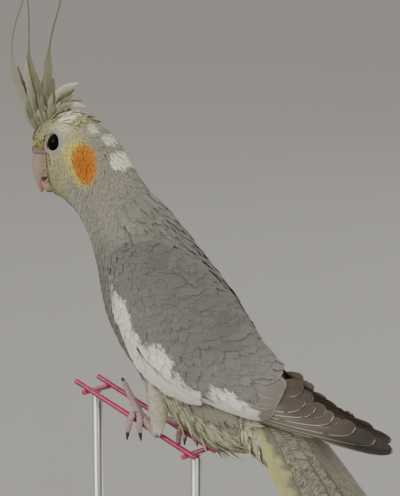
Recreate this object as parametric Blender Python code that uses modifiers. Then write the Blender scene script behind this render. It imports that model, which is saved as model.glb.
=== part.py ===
"""A grey cockatiel at life size, perched on two lengths of wire over a flat stand.

Metres in Blender, millimetres in the named sizes below. +Z is up, the bird faces -X and its
left side is at -Y. The origin is the middle of the underside of the stand's base.
"""
import math

import bmesh
import bpy
from mathutils import Matrix, Vector

MM = 0.001
GAP = 0.3
WELD = 1e-7

# Body stations from the face to the root of the tail. Each is the dorsal point (x, z), the
# ventral point (x, z) and the half width of the section through them.
HEAD_STATIONS = [
    (-63.0, 225.4, -61.4, 214.0, 4.2),
    (-60.6, 229.2, -58.6, 206.5, 8.0),
    (-55.5, 232.8, -54.8, 200.8, 10.6),
    (-49.0, 235.8, -51.0, 198.0, 12.0),
    (-42.0, 236.2, -46.8, 196.6, 13.0),
    (-33.8, 234.0, -42.8, 194.2, 13.8),
    (-25.5, 228.8, -39.4, 191.8, 14.4),
    (-17.8, 220.2, -36.5, 189.2, 15.0),
]
NECK_STATIONS = [
    (-17.8, 220.2, -36.5, 189.2, 15.0),
    (-10.2, 208.6, -32.2, 183.8, 16.8),
    (-3.8, 200.6, -27.8, 176.6, 19.4),
]
TORSO_STATIONS = [
    (-3.8, 200.6, -27.8, 176.6, 19.4),
    (4.6, 192.4, -24.2, 166.8, 21.8),
    (14.7, 182.0, -22.6, 156.8, 23.4),
    (25.0, 171.6, -20.0, 145.6, 24.2),
    (34.5, 161.6, -13.6, 133.2, 24.4),
    (43.0, 150.8, -4.0, 121.2, 24.0),
    (49.8, 139.8, 7.4, 108.6, 22.8),
    (55.0, 129.6, 20.6, 98.0, 20.4),
    (59.4, 120.4, 34.0, 91.8, 17.2),
    (63.6, 112.4, 46.0, 91.8, 13.0),
    (65.8, 107.8, 54.6, 96.6, 7.0),
]
BODY_SIDES = 26
WAIST = 0.5

# Head furniture.
EYE_CENTRE = (-45.6, 7.5, 222.6)
EYE_RADIUS = 5.0
EYE_FORWARD = 0.22
LID_RADIUS = 4.2
LID_THICKNESS = 0.9
LID_OUT = 3.3

# Upper bill: level sections (z, front x, back x, half width) from the cere to the hooked tip.
BILL_UPPER = [
    (220.6, -61.4, -54.5, 3.2),
    (218.4, -63.2, -53.0, 4.8),
    (215.0, -64.4, -52.0, 5.6),
    (211.0, -64.8, -52.0, 5.6),
    (207.4, -64.4, -53.4, 4.9),
    (204.0, -63.4, -56.4, 3.7),
    (201.4, -62.4, -58.4, 2.4),
    (199.4, -61.4, -59.4, 1.3),
    (198.2, -60.8, -60.0, 0.5),
]
BILL_LOWER = [
    (207.6, -60.2, -50.0, 4.4),
    (205.0, -60.6, -50.0, 4.4),
    (202.4, -60.0, -50.6, 3.9),
    (200.2, -58.8, -51.8, 3.0),
    (198.8, -57.4, -53.2, 1.8),
]
NOSTRIL = (-62.6, 2.3, 217.8)
NOSTRIL_RADIUS = 0.75

# Folded wing: measured from its bend, s along the wing and t across it towards the back.
WING_BEND = (-9.0, 175.0)
WING_FALL = math.radians(28.3)
WING_LENGTH = 147.6
WING_ROWS = [
    (-3.0, -3.0, 3.0, 19.0, 19.6, 19.0),
    (3.0, -6.5, 13.0, 22.0, 25.4, 19.4),
    (13.0, -18.0, 17.5, 24.2, 28.0, 13.6),
    (22.0, -25.6, 16.0, 25.6, 28.6, 9.6),
    (31.0, -31.2, 14.5, 26.2, 28.6, 7.0),
    (43.0, -35.5, 11.5, 26.4, 28.4, 5.4),
    (58.0, -33.7, 7.0, 25.4, 27.0, 4.8),
    (70.0, -29.7, 2.4, 23.0, 24.8, 5.0),
    (85.8, -25.9, -3.0, 19.0, 21.4, 7.8),
    (95.3, -24.1, -6.0, 16.8, 18.8, 9.8),
    (104.0, -21.1, -6.0, 15.4, 16.8, 10.4),
    (112.5, -17.8, -4.6, 14.0, 15.0, 10.0),
    (120.5, -13.7, -3.4, 12.8, 13.4, 9.4),
    (128.1, -10.2, -2.6, 11.6, 12.0, 9.0),
    (136.1, -6.6, -1.6, 10.4, 10.8, 8.8),
    (142.3, -4.4, -0.4, 9.6, 9.8, 8.6),
    (WING_LENGTH, -0.6, 0.8, 8.6, 8.6, 8.4),
]

# Tiers of wing feathers: name, count, then for the first and the last feather of the tier its
# root (s, t), its tip (s, t) and its half width, then how far the tier's top feather stands off
# the wing's surface, how far each one lies over the one before it, the sideways bow of the first
# and last, and how strongly the feathers tilt.
WING_TIERS = [
    ("primary", 6, (77.0, -19.0), (148.0, -0.2), 4.2, (76.0, -12.0), (103.0, -6.4), 5.0,
     -0.2, 0.7, (-3.4, -2.0), 0.10),
    ("secondary", 5, (46.0, -28.0), (95.5, -20.4), 6.0, (54.0, -9.0), (97.0, -9.4), 6.4,
     -0.4, 0.7, (-3.4, -0.4), 0.12),
    ("tertial", 3, (50.0, -5.0), (93.5, -7.4), 6.0, (46.0, 3.0), (80.0, -1.0), 6.0,
     1.2, 0.8, (-1.6, 0.2), 0.0),
    ("greater", 5, (16.0, -8.5), (29.0, -22.5), 4.8, (46.0, -8.0), (76.0, -14.0), 6.0,
     1.2, 0.0, (-2.0, 0.5), 0.2),
    ("median", 4, (11.0, 0.0), (27.0, -12.0), 5.6, (36.0, 1.0), (58.0, -4.0), 6.2,
     1.8, 0.0, (-1.6, 1.0), 0.18),
    ("scapular", 3, (8.0, 6.0), (36.0, 8.6), 6.2, (34.0, 7.0), (68.0, 1.6), 6.6,
     1.8, 0.0, (-1.2, 1.0), -0.12),
]
# The primaries lie this much deeper before the first of these lengths and rise by the second;
# every feather's root sinks this deep into the wing.
PRIMARY_DIVE = 2.6
PRIMARY_RISE = (84.0, 100.0)
ROOT_DEPTH = 3.2
# A vane's length shares and the half width there.
FLIGHT_VANE = [(0.0, 0.6), (0.4, 1.0), (0.82, 0.9), (1.0, 0.2)]
COVERT_VANE = [(0.0, 0.7), (0.5, 1.0), (0.84, 0.8), (1.0, 0.2)]
FEATHER_THICKNESS = 0.6
CORE_INSET = 1.5
CORE_REACH = 86.0
WING_THICKNESS = 4.0
WING_APART = 0.7
WING_SHIFT = {"left": 0.0, "right": -6.0}
WING_TURN = {"left": 0.0, "right": math.radians(1.6)}

# Crest feathers: how far each stands off the middle plane, its half width, then its points
# (x, z) from the crown to the tip.
CREST_FEATHERS = [
    (-1.5, 1.7, [(-57.4, 232.4), (-69.7, 235.8), (-75.0, 248.4), (-76.1, 259.4), (-73.8, 272.3),
                 (-68.5, 284.2), (-63.9, 290.6)]),
    (1.6, 1.6, [(-56.8, 233.0), (-65.5, 241.3), (-68.0, 254.0), (-66.6, 267.8), (-66.8, 280.5),
                (-68.3, 291.3)]),
    (-2.4, 1.6, [(-55.2, 233.6), (-58.7, 242.9), (-61.3, 251.0), (-65.6, 259.0)]),
    (0.0, 2.1, [(-53.6, 234.2), (-57.1, 243.2), (-55.8, 254.7), (-54.4, 267.4), (-51.5, 277.4),
                (-47.0, 286.4)]),
    (-1.6, 1.5, [(-51.8, 234.6), (-50.9, 242.7), (-46.4, 247.5), (-40.4, 250.5)]),
    (1.6, 1.5, [(-51.0, 234.8), (-47.9, 242.3), (-44.0, 244.6), (-40.2, 244.4)]),
    (-0.4, 1.5, [(-50.4, 235.8), (-45.2, 241.0), (-39.4, 241.2), (-33.4, 239.2)]),
    (2.6, 1.6, [(-55.8, 233.0), (-67.1, 238.4), (-72.0, 247.5), (-73.4, 257.5), (-72.7, 264.0)]),
    (2.6, 1.6, [(-54.4, 233.8), (-61.5, 241.4), (-63.0, 250.5), (-62.8, 259.7),
                (-61.5, 266.1)]),
]
CREST_MOUND = (-53.6, 232.0)
CREST_MOUND_SIZE = (8.6, 4.2, 3.6)
CREST_TURN = math.radians(-16.0)
CREST_THICKNESS = 0.8
CREST_SKEW = Vector((0.0, 0.45, 0.0))

# Tail: its middle line starts inside the rump and falls towards the base.
TAIL_ROOT = (48.0, 122.0)
TAIL_FALL = math.radians(47.5)

# The rump that carries the tail: distance along it, half width, half thickness and drop.
TAIL_CORE = [
    (4.0, 11.0, 8.0, 4.6),
    (14.0, 12.4, 9.0, 5.4),
    (26.0, 12.8, 7.0, 4.4),
    (38.0, 12.8, 4.0, 3.0),
    (48.0, 11.6, 0.8, 2.2),
]
TAIL_CORE_SIDES = 16

# Tail feathers from the middle pair outwards: length, spread in degrees, root offset, half
# width. The fan is arched, and each feather tilts so that it slips under its inner neighbour.
TAIL_FEATHERS = [
    (148.0, 1.4, 1.6, 5.6),
    (130.0, 3.6, 2.8, 6.0),
    (113.0, 5.8, 3.8, 6.2),
    (99.0, 8.0, 4.8, 6.2),
    (87.0, 10.2, 5.6, 6.2),
    (77.0, 12.4, 6.4, 6.0),
]
TAIL_FEATHER_START = 12.0
TAIL_ARCH = 0.0176
TAIL_TILT = 0.3
TAIL_THICKNESS = 0.7
TAIL_VANE = [(0.0, 0.55), (0.3, 0.9), (0.66, 1.0), (0.88, 0.74), (1.0, 0.16)]
POINTED_VANE = [(0.0, 0.55), (0.3, 1.0), (0.55, 0.9), (0.8, 0.5), (1.0, 0.12)]
# Tail coverts: over or under the tail, their height off it, their length and their count.
TAIL_COVERTS = [(1, 4.0, 34.0, 5), (-1, -13.2, 36.0, 5)]
TAIL_COVERT_START = 14.0
TAIL_COVERT_HALF = 4.6

# Legs: heel, foot and the top of the feathered shank, for the left side at -Y.
WIRE_SLOPE = -0.42
WIRE_SPACING = 9.3
WIRE_RADIUS = 1.2
WIRE_HEIGHT = {"left": 98.0, "right": 95.8}
WIRE_FRONT = -37.0
WIRE_REAR = 27.0
FOOT_X = {"left": -2.0, "right": 11.6}
HEEL = {"left": (8.2, 12.6, 96.0), "right": (20.4, 13.2, 88.6)}
SHANK_TOP = {"left": (5.4, 13.0, 120.0), "right": (18.0, 13.0, 112.0)}
FOOT_CLEARANCE = 2.2
FOOT_PAD = 2.2

# Toes: steps from the foot pad for each toe, the middle one counted away from the bird.
TOES = {
    "left": {
        "2": [(-3.0, -3.5, 1.2), (-5.5, -6.5, 2.0), (-7.0, -8.5, 0.5)],
        "3": [(-5.0, -3.5, 3.2), (-10.5, -7.0, 7.6), (-15.6, -10.9, 10.8)],
        "4": [(-2.0, 3.0, 0.0), (-3.0, 4.4, -4.0), (-3.6, 4.6, -8.0)],
        "1": [(2.0, 3.0, -1.0), (2.4, 4.4, -4.5), (2.8, 4.4, -7.4)],
    },
    "right": {
        "2": [(-0.8, -3.2, -0.4), (-1.6, -4.4, -4.2), (-1.6, -4.4, -7.8)],
        "3": [(-4.2, -2.4, 1.8), (-8.0, -3.8, 2.8), (-11.2, -5.0, 2.2)],
        "4": [(-2.0, 3.0, 0.0), (-3.0, 4.4, -4.0), (-3.6, 4.6, -8.0)],
        "1": [(2.0, 3.0, -1.0), (2.4, 4.4, -4.5), (2.8, 4.4, -7.4)],
    },
}

TOE_GUIDE = (0.6, 0.8, 0.15)
TOE_RADII = [1.7, 1.6, 1.4, 1.1]
SHANK_RADII = [6.0, 5.8, 5.2, 4.4, 3.4, 2.4]
TARSUS_RADII = [1.9, 1.7, 1.8]
CLAW_STEP = 1.6
CLAW_HOOK = 2.0
CLAW_RADII = [0.95, 0.7, 0.15]

# Stand.
BASE_SIZE = (150.0, 100.0, 8.0)
BASE_EDGE = 1.5
ROD_RADIUS = 2.5
ROD_X = {"front": -31.0, "rear": 22.0}


def wipe_scene():
    """Start from nothing."""
    for item in list(bpy.data.objects):
        bpy.data.objects.remove(item, do_unlink=True)


def collection(name):
    """A collection of this name under the scene."""
    made = bpy.data.collections.new(name)
    bpy.context.scene.collection.children.link(made)
    return made


def paint(name, colour, roughness, metallic=0.0):
    """A plain Principled material."""
    material = bpy.data.materials.new(name)
    material.use_nodes = True
    shader = material.node_tree.nodes["Principled BSDF"]
    shader.inputs["Base Color"].default_value = (*colour, 1.0)
    shader.inputs["Roughness"].default_value = roughness
    shader.inputs["Metallic"].default_value = metallic
    return material


def blend_rows(rows, steps):
    """Rows on a Catmull-Rom curve through the given rows, steps to each span."""
    made = []
    last = len(rows) - 1
    for index in range(last):
        before = rows[max(index - 1, 0)]
        here = rows[index]
        there = rows[index + 1]
        after = rows[min(index + 2, last)]
        for step in range(steps):
            t = step / steps
            made.append(tuple(
                0.5 * (2 * b + (c - a) * t + (2 * a - 5 * b + 4 * c - d) * t * t
                       + (3 * b - a - 3 * c + d) * t ** 3)
                for a, b, c, d in zip(before, here, there, after)))
    made.append(tuple(rows[last]))
    return made


def loft(name, rings, material, home):
    """A closed body through rings of points, with a fan over each end."""
    shape = bmesh.new()
    loops = [[shape.verts.new(point * MM) for point in ring] for ring in rings]
    count = len(loops[0])
    for near, far in zip(loops, loops[1:]):
        for side in range(count):
            beyond = (side + 1) % count
            shape.faces.new((near[side], near[beyond], far[beyond], far[side]))
    for ring, points in ((loops[0], rings[0]), (loops[-1], rings[-1])):
        middle = shape.verts.new(sum(points, Vector()) / len(points) * MM)
        for side in range(count):
            shape.faces.new((ring[side], ring[(side + 1) % count], middle))
    bmesh.ops.triangulate(shape, faces=shape.faces)
    bmesh.ops.recalc_face_normals(shape, faces=shape.faces)
    if shape.calc_volume(signed=True) < 0:
        bmesh.ops.reverse_faces(shape, faces=shape.faces)
    mesh = bpy.data.meshes.new(name)
    shape.to_mesh(mesh)
    shape.free()
    return place(name, mesh, material, home)


def place(name, mesh, material, home):
    """An object for a mesh, in its collection and with its material."""
    item = bpy.data.objects.new(name, mesh)
    home.objects.link(item)
    mesh.materials.clear()
    mesh.materials.append(material)
    mesh.shade_smooth()
    mesh.set_sharp_from_angle(angle=math.radians(40))
    return item


def bake(item):
    """Apply an object's modifiers to its mesh."""
    bpy.context.view_layer.update()
    graph = bpy.context.evaluated_depsgraph_get()
    mesh = bpy.data.meshes.new_from_object(item.evaluated_get(graph))
    old = item.data
    item.modifiers.clear()
    item.data = mesh
    mesh.name = old.name
    bpy.data.meshes.remove(old)


def grown_copy(item, distance, cutters):
    """A wire copy of a body, pushed out along its normals, to cut neighbours with."""
    shape = bmesh.new()
    shape.from_mesh(item.data)
    shape.normal_update()
    for vert in shape.verts:
        vert.co += vert.normal * distance * MM * vert.calc_shell_factor()
    mesh = bpy.data.meshes.new(item.name + "_clearance")
    shape.to_mesh(mesh)
    shape.free()
    made = bpy.data.objects.new(mesh.name, mesh)
    cutters.objects.link(made)
    made.hide_render = True
    made.display_type = "WIRE"
    return made


def cut(item, tool, solver="EXACT"):
    """Take a tool's body out of an object and keep the largest piece."""
    change = item.modifiers.new("Cut", "BOOLEAN")
    change.operation = "DIFFERENCE"
    change.solver = solver
    change.object = tool
    bake(item)
    keep_largest(item)


def fuse(item, pieces, solver="EXACT"):
    """Join closed pieces to an object by one union and remove them."""
    group = bpy.data.collections.new(item.name + "_pieces")
    for piece in pieces:
        group.objects.link(piece)
    change = item.modifiers.new("Join", "BOOLEAN")
    change.operation = "UNION"
    change.solver = solver
    change.operand_type = "COLLECTION"
    change.collection = group
    bake(item)
    for piece in pieces:
        bpy.data.objects.remove(piece, do_unlink=True)
    bpy.data.collections.remove(group)
    keep_largest(item)


def keep_largest(item):
    """Keep only the closed surface with the largest extent."""
    shape = bmesh.new()
    shape.from_mesh(item.data)
    bmesh.ops.remove_doubles(shape, verts=shape.verts, dist=WELD)
    bmesh.ops.triangulate(shape, faces=shape.faces)
    seen = set()
    islands = []
    for vert in shape.verts:
        if vert in seen:
            continue
        stack = [vert]
        seen.add(vert)
        island = []
        while stack:
            here = stack.pop()
            island.append(here)
            for edge in here.link_edges:
                other = edge.other_vert(here)
                if other not in seen:
                    seen.add(other)
                    stack.append(other)
        islands.append(island)
    islands.sort(key=extent, reverse=True)
    for island in islands[1:]:
        bmesh.ops.delete(shape, geom=island, context="VERTS")
    shape.to_mesh(item.data)
    shape.free()
    item.data.shade_smooth()
    item.data.set_sharp_from_angle(angle=math.radians(40))


def extent(island):
    """How far a set of vertices reaches, corner to corner."""
    low = [min(vert.co[axis] for vert in island) for axis in range(3)]
    high = [max(vert.co[axis] for vert in island) for axis in range(3)]
    return sum((b - a) ** 2 for a, b in zip(low, high))


def body_ring(row, sides=BODY_SIDES, shift=0.0):
    """The section through one body station, moved along its own axis by shift."""
    dorsal = Vector((row[0], 0.0, row[1]))
    ventral = Vector((row[2], 0.0, row[3]))
    middle = ventral.lerp(dorsal, WAIST)
    up = dorsal - middle
    down = middle - ventral
    along = (dorsal - ventral).cross(Vector((0.0, 1.0, 0.0))).normalized() * shift
    ring = []
    for side in range(sides):
        turn = 2 * math.pi * side / sides
        rise = up if math.cos(turn) > 0 else down
        lift = abs(math.cos(turn)) * math.copysign(1.0, math.cos(turn))
        ring.append(middle + rise * lift + Vector((0.0, row[4] * math.sin(turn), 0.0)) + along)
    return ring


def body_loft(name, stations, steps, material, home):
    """A length of the body through its stations, pulled in by half a gap at each end."""
    rows = blend_rows(stations, steps)
    rings = [body_ring(row) for row in rows]
    rings[0] = body_ring(rows[0], shift=-GAP / 2)
    rings[-1] = body_ring(rows[-1], shift=GAP / 2)
    return loft(name, rings, material, home)


def tube(name, points, radii, sides, material, home, guide=(0.0, 0.0, 1.0)):
    """A round body along points with a radius at each; guide is never along its axis."""
    rings = []
    for index, point in enumerate(points):
        here = Vector(point)
        before = Vector(points[max(index - 1, 0)])
        after = Vector(points[min(index + 1, len(points) - 1)])
        axis = (after - before).normalized()
        across = axis.cross(Vector(guide)).normalized()
        over = across.cross(axis).normalized()
        rings.append([
            here + across * radii[index] * math.cos(2 * math.pi * side / sides)
            + over * radii[index] * math.sin(2 * math.pi * side / sides)
            for side in range(sides)])
    return loft(name, rings, material, home)


def ball(name, centre, radius, material, home, segments=16, rings=10):
    """A sphere."""
    shape = bmesh.new()
    bmesh.ops.create_uvsphere(shape, u_segments=segments, v_segments=rings, radius=radius * MM)
    bmesh.ops.translate(shape, verts=shape.verts, vec=Vector(centre) * MM)
    bmesh.ops.triangulate(shape, faces=shape.faces)
    mesh = bpy.data.meshes.new(name)
    shape.to_mesh(mesh)
    shape.free()
    return place(name, mesh, material, home)


def ring_body(name, centre, axis, major, minor, material, home):
    """A closed ring round an axis."""
    bpy.ops.mesh.primitive_torus_add(
        major_segments=20, minor_segments=6, major_radius=major * MM, minor_radius=minor * MM,
        location=Vector(centre) * MM, rotation=Vector(axis).to_track_quat("Z", "Y").to_euler())
    made = bpy.context.view_layer.objects.active
    mesh = made.data.copy()
    mesh.transform(made.matrix_world)
    bpy.data.objects.remove(made, do_unlink=True)
    return place(name, mesh, material, home)


def level_loft(name, sections, sides, material, home):
    """A bill half from level oval sections."""
    rings = []
    for z, front, back, half_width in blend_rows(sections, 2):
        middle = Vector(((front + back) / 2, 0.0, z))
        reach = (back - front) / 2
        rings.append([
            middle + Vector((reach * math.cos(2 * math.pi * side / sides),
                             half_width * math.sin(2 * math.pi * side / sides), 0.0))
            for side in range(sides)])
    return loft(name, rings, material, home)


def vane(name, stations, material, home):
    """A feather's vane: each station is its points from edge to edge, its outward normal and
    its thickness. Both faces are split into triangles alike."""
    shape = bmesh.new()
    rows = []
    for points, normal, thick in stations:
        lift = normal * thick / 2
        outer = [shape.verts.new((point + lift) * MM) for point in points]
        inner = [shape.verts.new((point - lift) * MM) for point in points]
        rows.append((outer, inner))
    wide = len(rows[0][0])
    for near, far in zip(rows, rows[1:]):
        for layer in (0, 1):
            for k in range(wide - 1):
                a, b = near[layer][k], near[layer][k + 1]
                c, d = far[layer][k + 1], far[layer][k]
                shape.faces.new((a, b, c))
                shape.faces.new((a, c, d))
        for k in (0, wide - 1):
            shape.faces.new((near[0][k], near[1][k], far[1][k], far[0][k]))
    for outer, inner in (rows[0], rows[-1]):
        for k in range(wide - 1):
            shape.faces.new((outer[k], outer[k + 1], inner[k + 1], inner[k]))
    bmesh.ops.triangulate(shape, faces=[face for face in shape.faces if len(face.verts) > 3])
    bmesh.ops.recalc_face_normals(shape, faces=shape.faces)
    if shape.calc_volume(signed=True) < 0:
        bmesh.ops.reverse_faces(shape, faces=shape.faces)
    mesh = bpy.data.meshes.new(name)
    shape.to_mesh(mesh)
    shape.free()
    return place(name, mesh, material, home)


def wing_point(s, t, y, turn=0.0):
    """A point of the folded wing from its own measures."""
    fall = WING_FALL + turn
    x = WING_BEND[0] + s * math.cos(fall) + t * math.sin(fall)
    z = WING_BEND[1] - s * math.sin(fall) + t * math.cos(fall)
    return Vector((x, y, z))


WING_SURFACE = blend_rows(WING_ROWS, 6)


def wing_height(s, t):
    """How far the folded wing's outer surface stands from the middle plane at (s, t)."""
    near = max((index for index, row in enumerate(WING_SURFACE) if row[0] <= s), default=0)
    far = min(near + 1, len(WING_SURFACE) - 1)
    span = max(WING_SURFACE[far][0] - WING_SURFACE[near][0], 1e-6)
    share = min(max((s - WING_SURFACE[near][0]) / span, 0.0), 1.0)
    low, high, y_low, y_mid, y_high = (
        a + (b - a) * share for a, b in zip(WING_SURFACE[near][1:], WING_SURFACE[far][1:]))
    f = min(max((t - low) / (high - low), -0.1), 1.1)
    return y_low + (y_high - y_low) * f + (y_mid - (y_low + y_high) / 2) * 4 * f * (1 - f)


def on_wing(s, t, lift, side, shift, turn):
    """A point of the wing's outer surface at (s, t), lifted along the surface's normal."""
    step = 2.0
    here = wing_height(s, t)
    slope_s = (wing_height(s + step, t) - wing_height(s - step, t)) / (2 * step)
    slope_t = (wing_height(s, t + step) - wing_height(s, t - step)) / (2 * step)
    scale = lift / math.sqrt(1 + slope_s ** 2 + slope_t ** 2)
    return wing_point(s + shift - slope_s * scale, t - slope_t * scale,
                      side * max(here + scale, WING_APART), turn)


def make_wing_core(name, side, shift, turn, material, home):
    """The fleshy fore part of a folded wing, which carries its feathers."""
    rings = []
    across = 5
    for row in blend_rows(WING_ROWS, 1):
        s, low, high = row[:3]
        if s > CORE_REACH:
            break
        inset = CORE_INSET + 1.2 * max(0.0, s / CORE_REACH) ** 4
        thick = WING_THICKNESS
        outer = []
        inner = []
        for step in range(across + 1):
            f = step / across
            t = low + (high - low) * (0.04 + 0.92 * f)
            drop = inset + thick * (0.25 + 0.75 * 4 * f * (1 - f))
            outer.append(on_wing(s, t, -inset, side, shift, turn))
            inner.append(on_wing(s, t, -drop, side, shift, turn))
        rings.append(outer + inner[::-1])
    return loft(name, rings, material, home)


def make_wing_vanes(name, side, shift, turn, material, home):
    """Every tier of wing feathers as overlapping, tilted vanes on the wing's surface."""
    made = []
    for sizes in WING_TIERS:
        tier, count, root_a, tip_a, wide_a, root_b, tip_b, wide_b, top, step, bows, tilt = sizes
        outline = FLIGHT_VANE if tier in ("primary", "secondary", "tertial") else COVERT_VANE
        for index in range(count):
            f = index / (count - 1)
            root = Vector(root_a).lerp(Vector(root_b), f)
            tip = Vector(tip_a).lerp(Vector(tip_b), f)
            wide = wide_a + (wide_b - wide_a) * f
            bow = bows[0] + (bows[1] - bows[0]) * f
            run = (tip - root).normalized()
            over = Vector((-run.y, run.x))
            level = top - step * (count - 1 - index)
            stations = []
            for share, width in outline:
                middle = root.lerp(tip, share) + over * bow * 4 * share * (1 - share)
                half = wide * width
                lift = level - ROOT_DEPTH * max(0.0, 1 - share * 3.0)
                if tier == "primary":
                    rise = (middle.x - PRIMARY_RISE[0]) / (PRIMARY_RISE[1] - PRIMARY_RISE[0])
                    lift -= PRIMARY_DIVE * (1 - min(max(rise, 0.0), 1.0))
                points = [
                    on_wing(middle.x + over.x * half * edge, middle.y + over.y * half * edge,
                            lift - tilt * half * edge, side, shift, turn)
                    for edge in (-1, 0, 1)]
                normal = (on_wing(middle.x, middle.y, 1.0, side, shift, turn)
                          - on_wing(middle.x, middle.y, 0.0, side, shift, turn))
                stations.append((points, normal, FEATHER_THICKNESS))
            made.append(vane("%s_%s_%d" % (name, tier, index), stations, material, home))
    return made


def tail_point(distance, across, height):
    """A point of the tail: along it, across it and over its arch."""
    fall = Vector((math.cos(TAIL_FALL), 0.0, -math.sin(TAIL_FALL)))
    up = Vector((math.sin(TAIL_FALL), 0.0, math.cos(TAIL_FALL)))
    root = Vector((TAIL_ROOT[0], 0.0, TAIL_ROOT[1]))
    return root + fall * distance + up * height + Vector((0.0, across, 0.0))


def make_tail(material, home):
    """Twelve tail feathers under and over one another, with coverts at their roots."""
    rings = []
    for distance, half_width, half_thick, drop in TAIL_CORE:
        rings.append([
            tail_point(distance, half_width * math.sin(2 * math.pi * k / TAIL_CORE_SIDES),
                       half_thick * math.cos(2 * math.pi * k / TAIL_CORE_SIDES) - drop)
            for k in range(TAIL_CORE_SIDES)])
    core = loft("tail", rings, material, home)
    pieces = []
    normal = tail_point(0.0, 0.0, 1.0) - tail_point(0.0, 0.0, 0.0)
    for side in (-1, 1):
        for index, (length, spread, offset, wide) in enumerate(TAIL_FEATHERS):
            lower = TAIL_THICKNESS * 1.2 if side > 0 and index == 0 else 0.0
            stations = []
            for share, width in POINTED_VANE if index == 0 else TAIL_VANE:
                along = TAIL_FEATHER_START + (length - TAIL_FEATHER_START) * share
                middle = offset + along * math.tan(math.radians(spread))
                half = wide * width
                edges = []
                for edge in (-1, 1):
                    outward = half * edge
                    height = (TAIL_TILT * outward - lower
                              - TAIL_ARCH * middle * (middle + 2 * outward))
                    edges.append(tail_point(along, side * (middle + outward), height))
                stations.append((edges, normal, TAIL_THICKNESS))
            pieces.append(vane("tail_%d_%d" % (side, index), stations, material, home))
    for over, height, length, count in TAIL_COVERTS:
        for index in range(count):
            spread = index / (count - 1) * 2 - 1
            stations = []
            for share, width in COVERT_VANE:
                along = TAIL_COVERT_START + length * share * (1 - 0.2 * abs(spread))
                middle = spread * (7.0 + 4.0 * share)
                edges = []
                for edge in (-1, 1):
                    across = middle + TAIL_COVERT_HALF * width * edge
                    rise = height * (1 - 0.66 * share) - over * 0.03 * across ** 2
                    rise += over * 0.6 * (1 if index % 2 else -1)
                    edges.append(tail_point(along, across, rise))
                stations.append((edges, normal, TAIL_THICKNESS))
            pieces.append(vane("covert_%d_%d" % (over, index), stations, material, home))
    fuse(core, pieces, "MANIFOLD")
    return core


def make_crest(material, home):
    """The raised crest feather by feather, on a mound that sits in the crown."""
    mound = ball("crest", (0.0, 0.0, 0.0), 1.0, material, home, 16, 10)
    mound.data.transform(
        Matrix.Translation(Vector((CREST_MOUND[0], 0.0, CREST_MOUND[1])) * MM)
        @ Matrix.Rotation(CREST_TURN, 4, "Y")
        @ Matrix.Diagonal((*CREST_MOUND_SIZE, 1.0)))
    pieces = []
    for index, (aside, wide, points) in enumerate(CREST_FEATHERS):
        rows = blend_rows(points, 1 if len(points) > 4 else 2)
        last = len(rows) - 1
        stations = []
        for step, (x, z) in enumerate(rows):
            share = step / last
            before = Vector(rows[max(step - 1, 0)])
            after = Vector(rows[min(step + 1, last)])
            run = (after - before).normalized()
            over = Vector((-run.y, 0.0, run.x))
            half = wide * max(min(1.0, 0.5 + 1.8 * share) * (1 - share ** 1.6), 0.16)
            middle = Vector((x, aside * (0.5 + 0.9 * share), z))
            reach = (over + CREST_SKEW) * half
            stations.append(([middle - reach, middle + reach], Vector((0.0, 1.0, 0.0)),
                             CREST_THICKNESS * (1 - 0.5 * share)))
        pieces.append(vane("crest_%d" % index, stations, material, home))
    return mound, pieces


def wire_point(side, x):
    """The middle of one long wire at x."""
    sign = -1 if side == "left" else 1
    return Vector((x, sign * WIRE_SPACING, WIRE_HEIGHT[side] + WIRE_SLOPE * x))


def make_perch(material, home):
    """Two long wires with a cross wire welded under them near each end."""
    made = []
    for side in ("left", "right"):
        ends = [wire_point(side, WIRE_FRONT), wire_point(side, WIRE_REAR)]
        made.append(tube("perch_" + side, ends, [WIRE_RADIUS] * 2, 10, material, home))
    for name, x in ROD_X.items():
        ends = []
        for side, reach in (("left", -1.0), ("right", 1.0)):
            under = wire_point(side, x)
            under.z -= WIRE_RADIUS * 1.6
            under.y += reach * 2.2
            ends.append(under)
        made.append(tube("perch_cross_" + name, ends, [WIRE_RADIUS] * 2, 10, material, home))
    perch = made[0]
    perch.name = "perch_wires"
    fuse(perch, made[1:])


def make_stand(wood, metal, home):
    """A flat base and two rods up to the cross wires."""
    shape = bmesh.new()
    bmesh.ops.create_cube(shape, size=1.0)
    bmesh.ops.scale(shape, verts=shape.verts, vec=Vector(BASE_SIZE) * MM)
    bmesh.ops.translate(shape, verts=shape.verts, vec=(0.0, 0.0, BASE_SIZE[2] / 2 * MM))
    mesh = bpy.data.meshes.new("stand_base")
    shape.to_mesh(mesh)
    shape.free()
    base = place("stand_base", mesh, wood, home)
    edge = base.modifiers.new("Edge", "BEVEL")
    edge.width = BASE_EDGE * MM
    edge.segments = 3
    for name, x in ROD_X.items():
        foot = BASE_SIZE[2] + GAP
        left = wire_point("left", x)
        right = wire_point("right", x)
        top = (left.z + right.z) / 2 - WIRE_RADIUS * 2.6 - GAP
        tube("stand_rod_" + name, [(x, 0.0, foot), (x, 0.0, top)],
             [ROD_RADIUS] * 2, 20, metal, home, (1.0, 0.0, 0.0))


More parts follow.
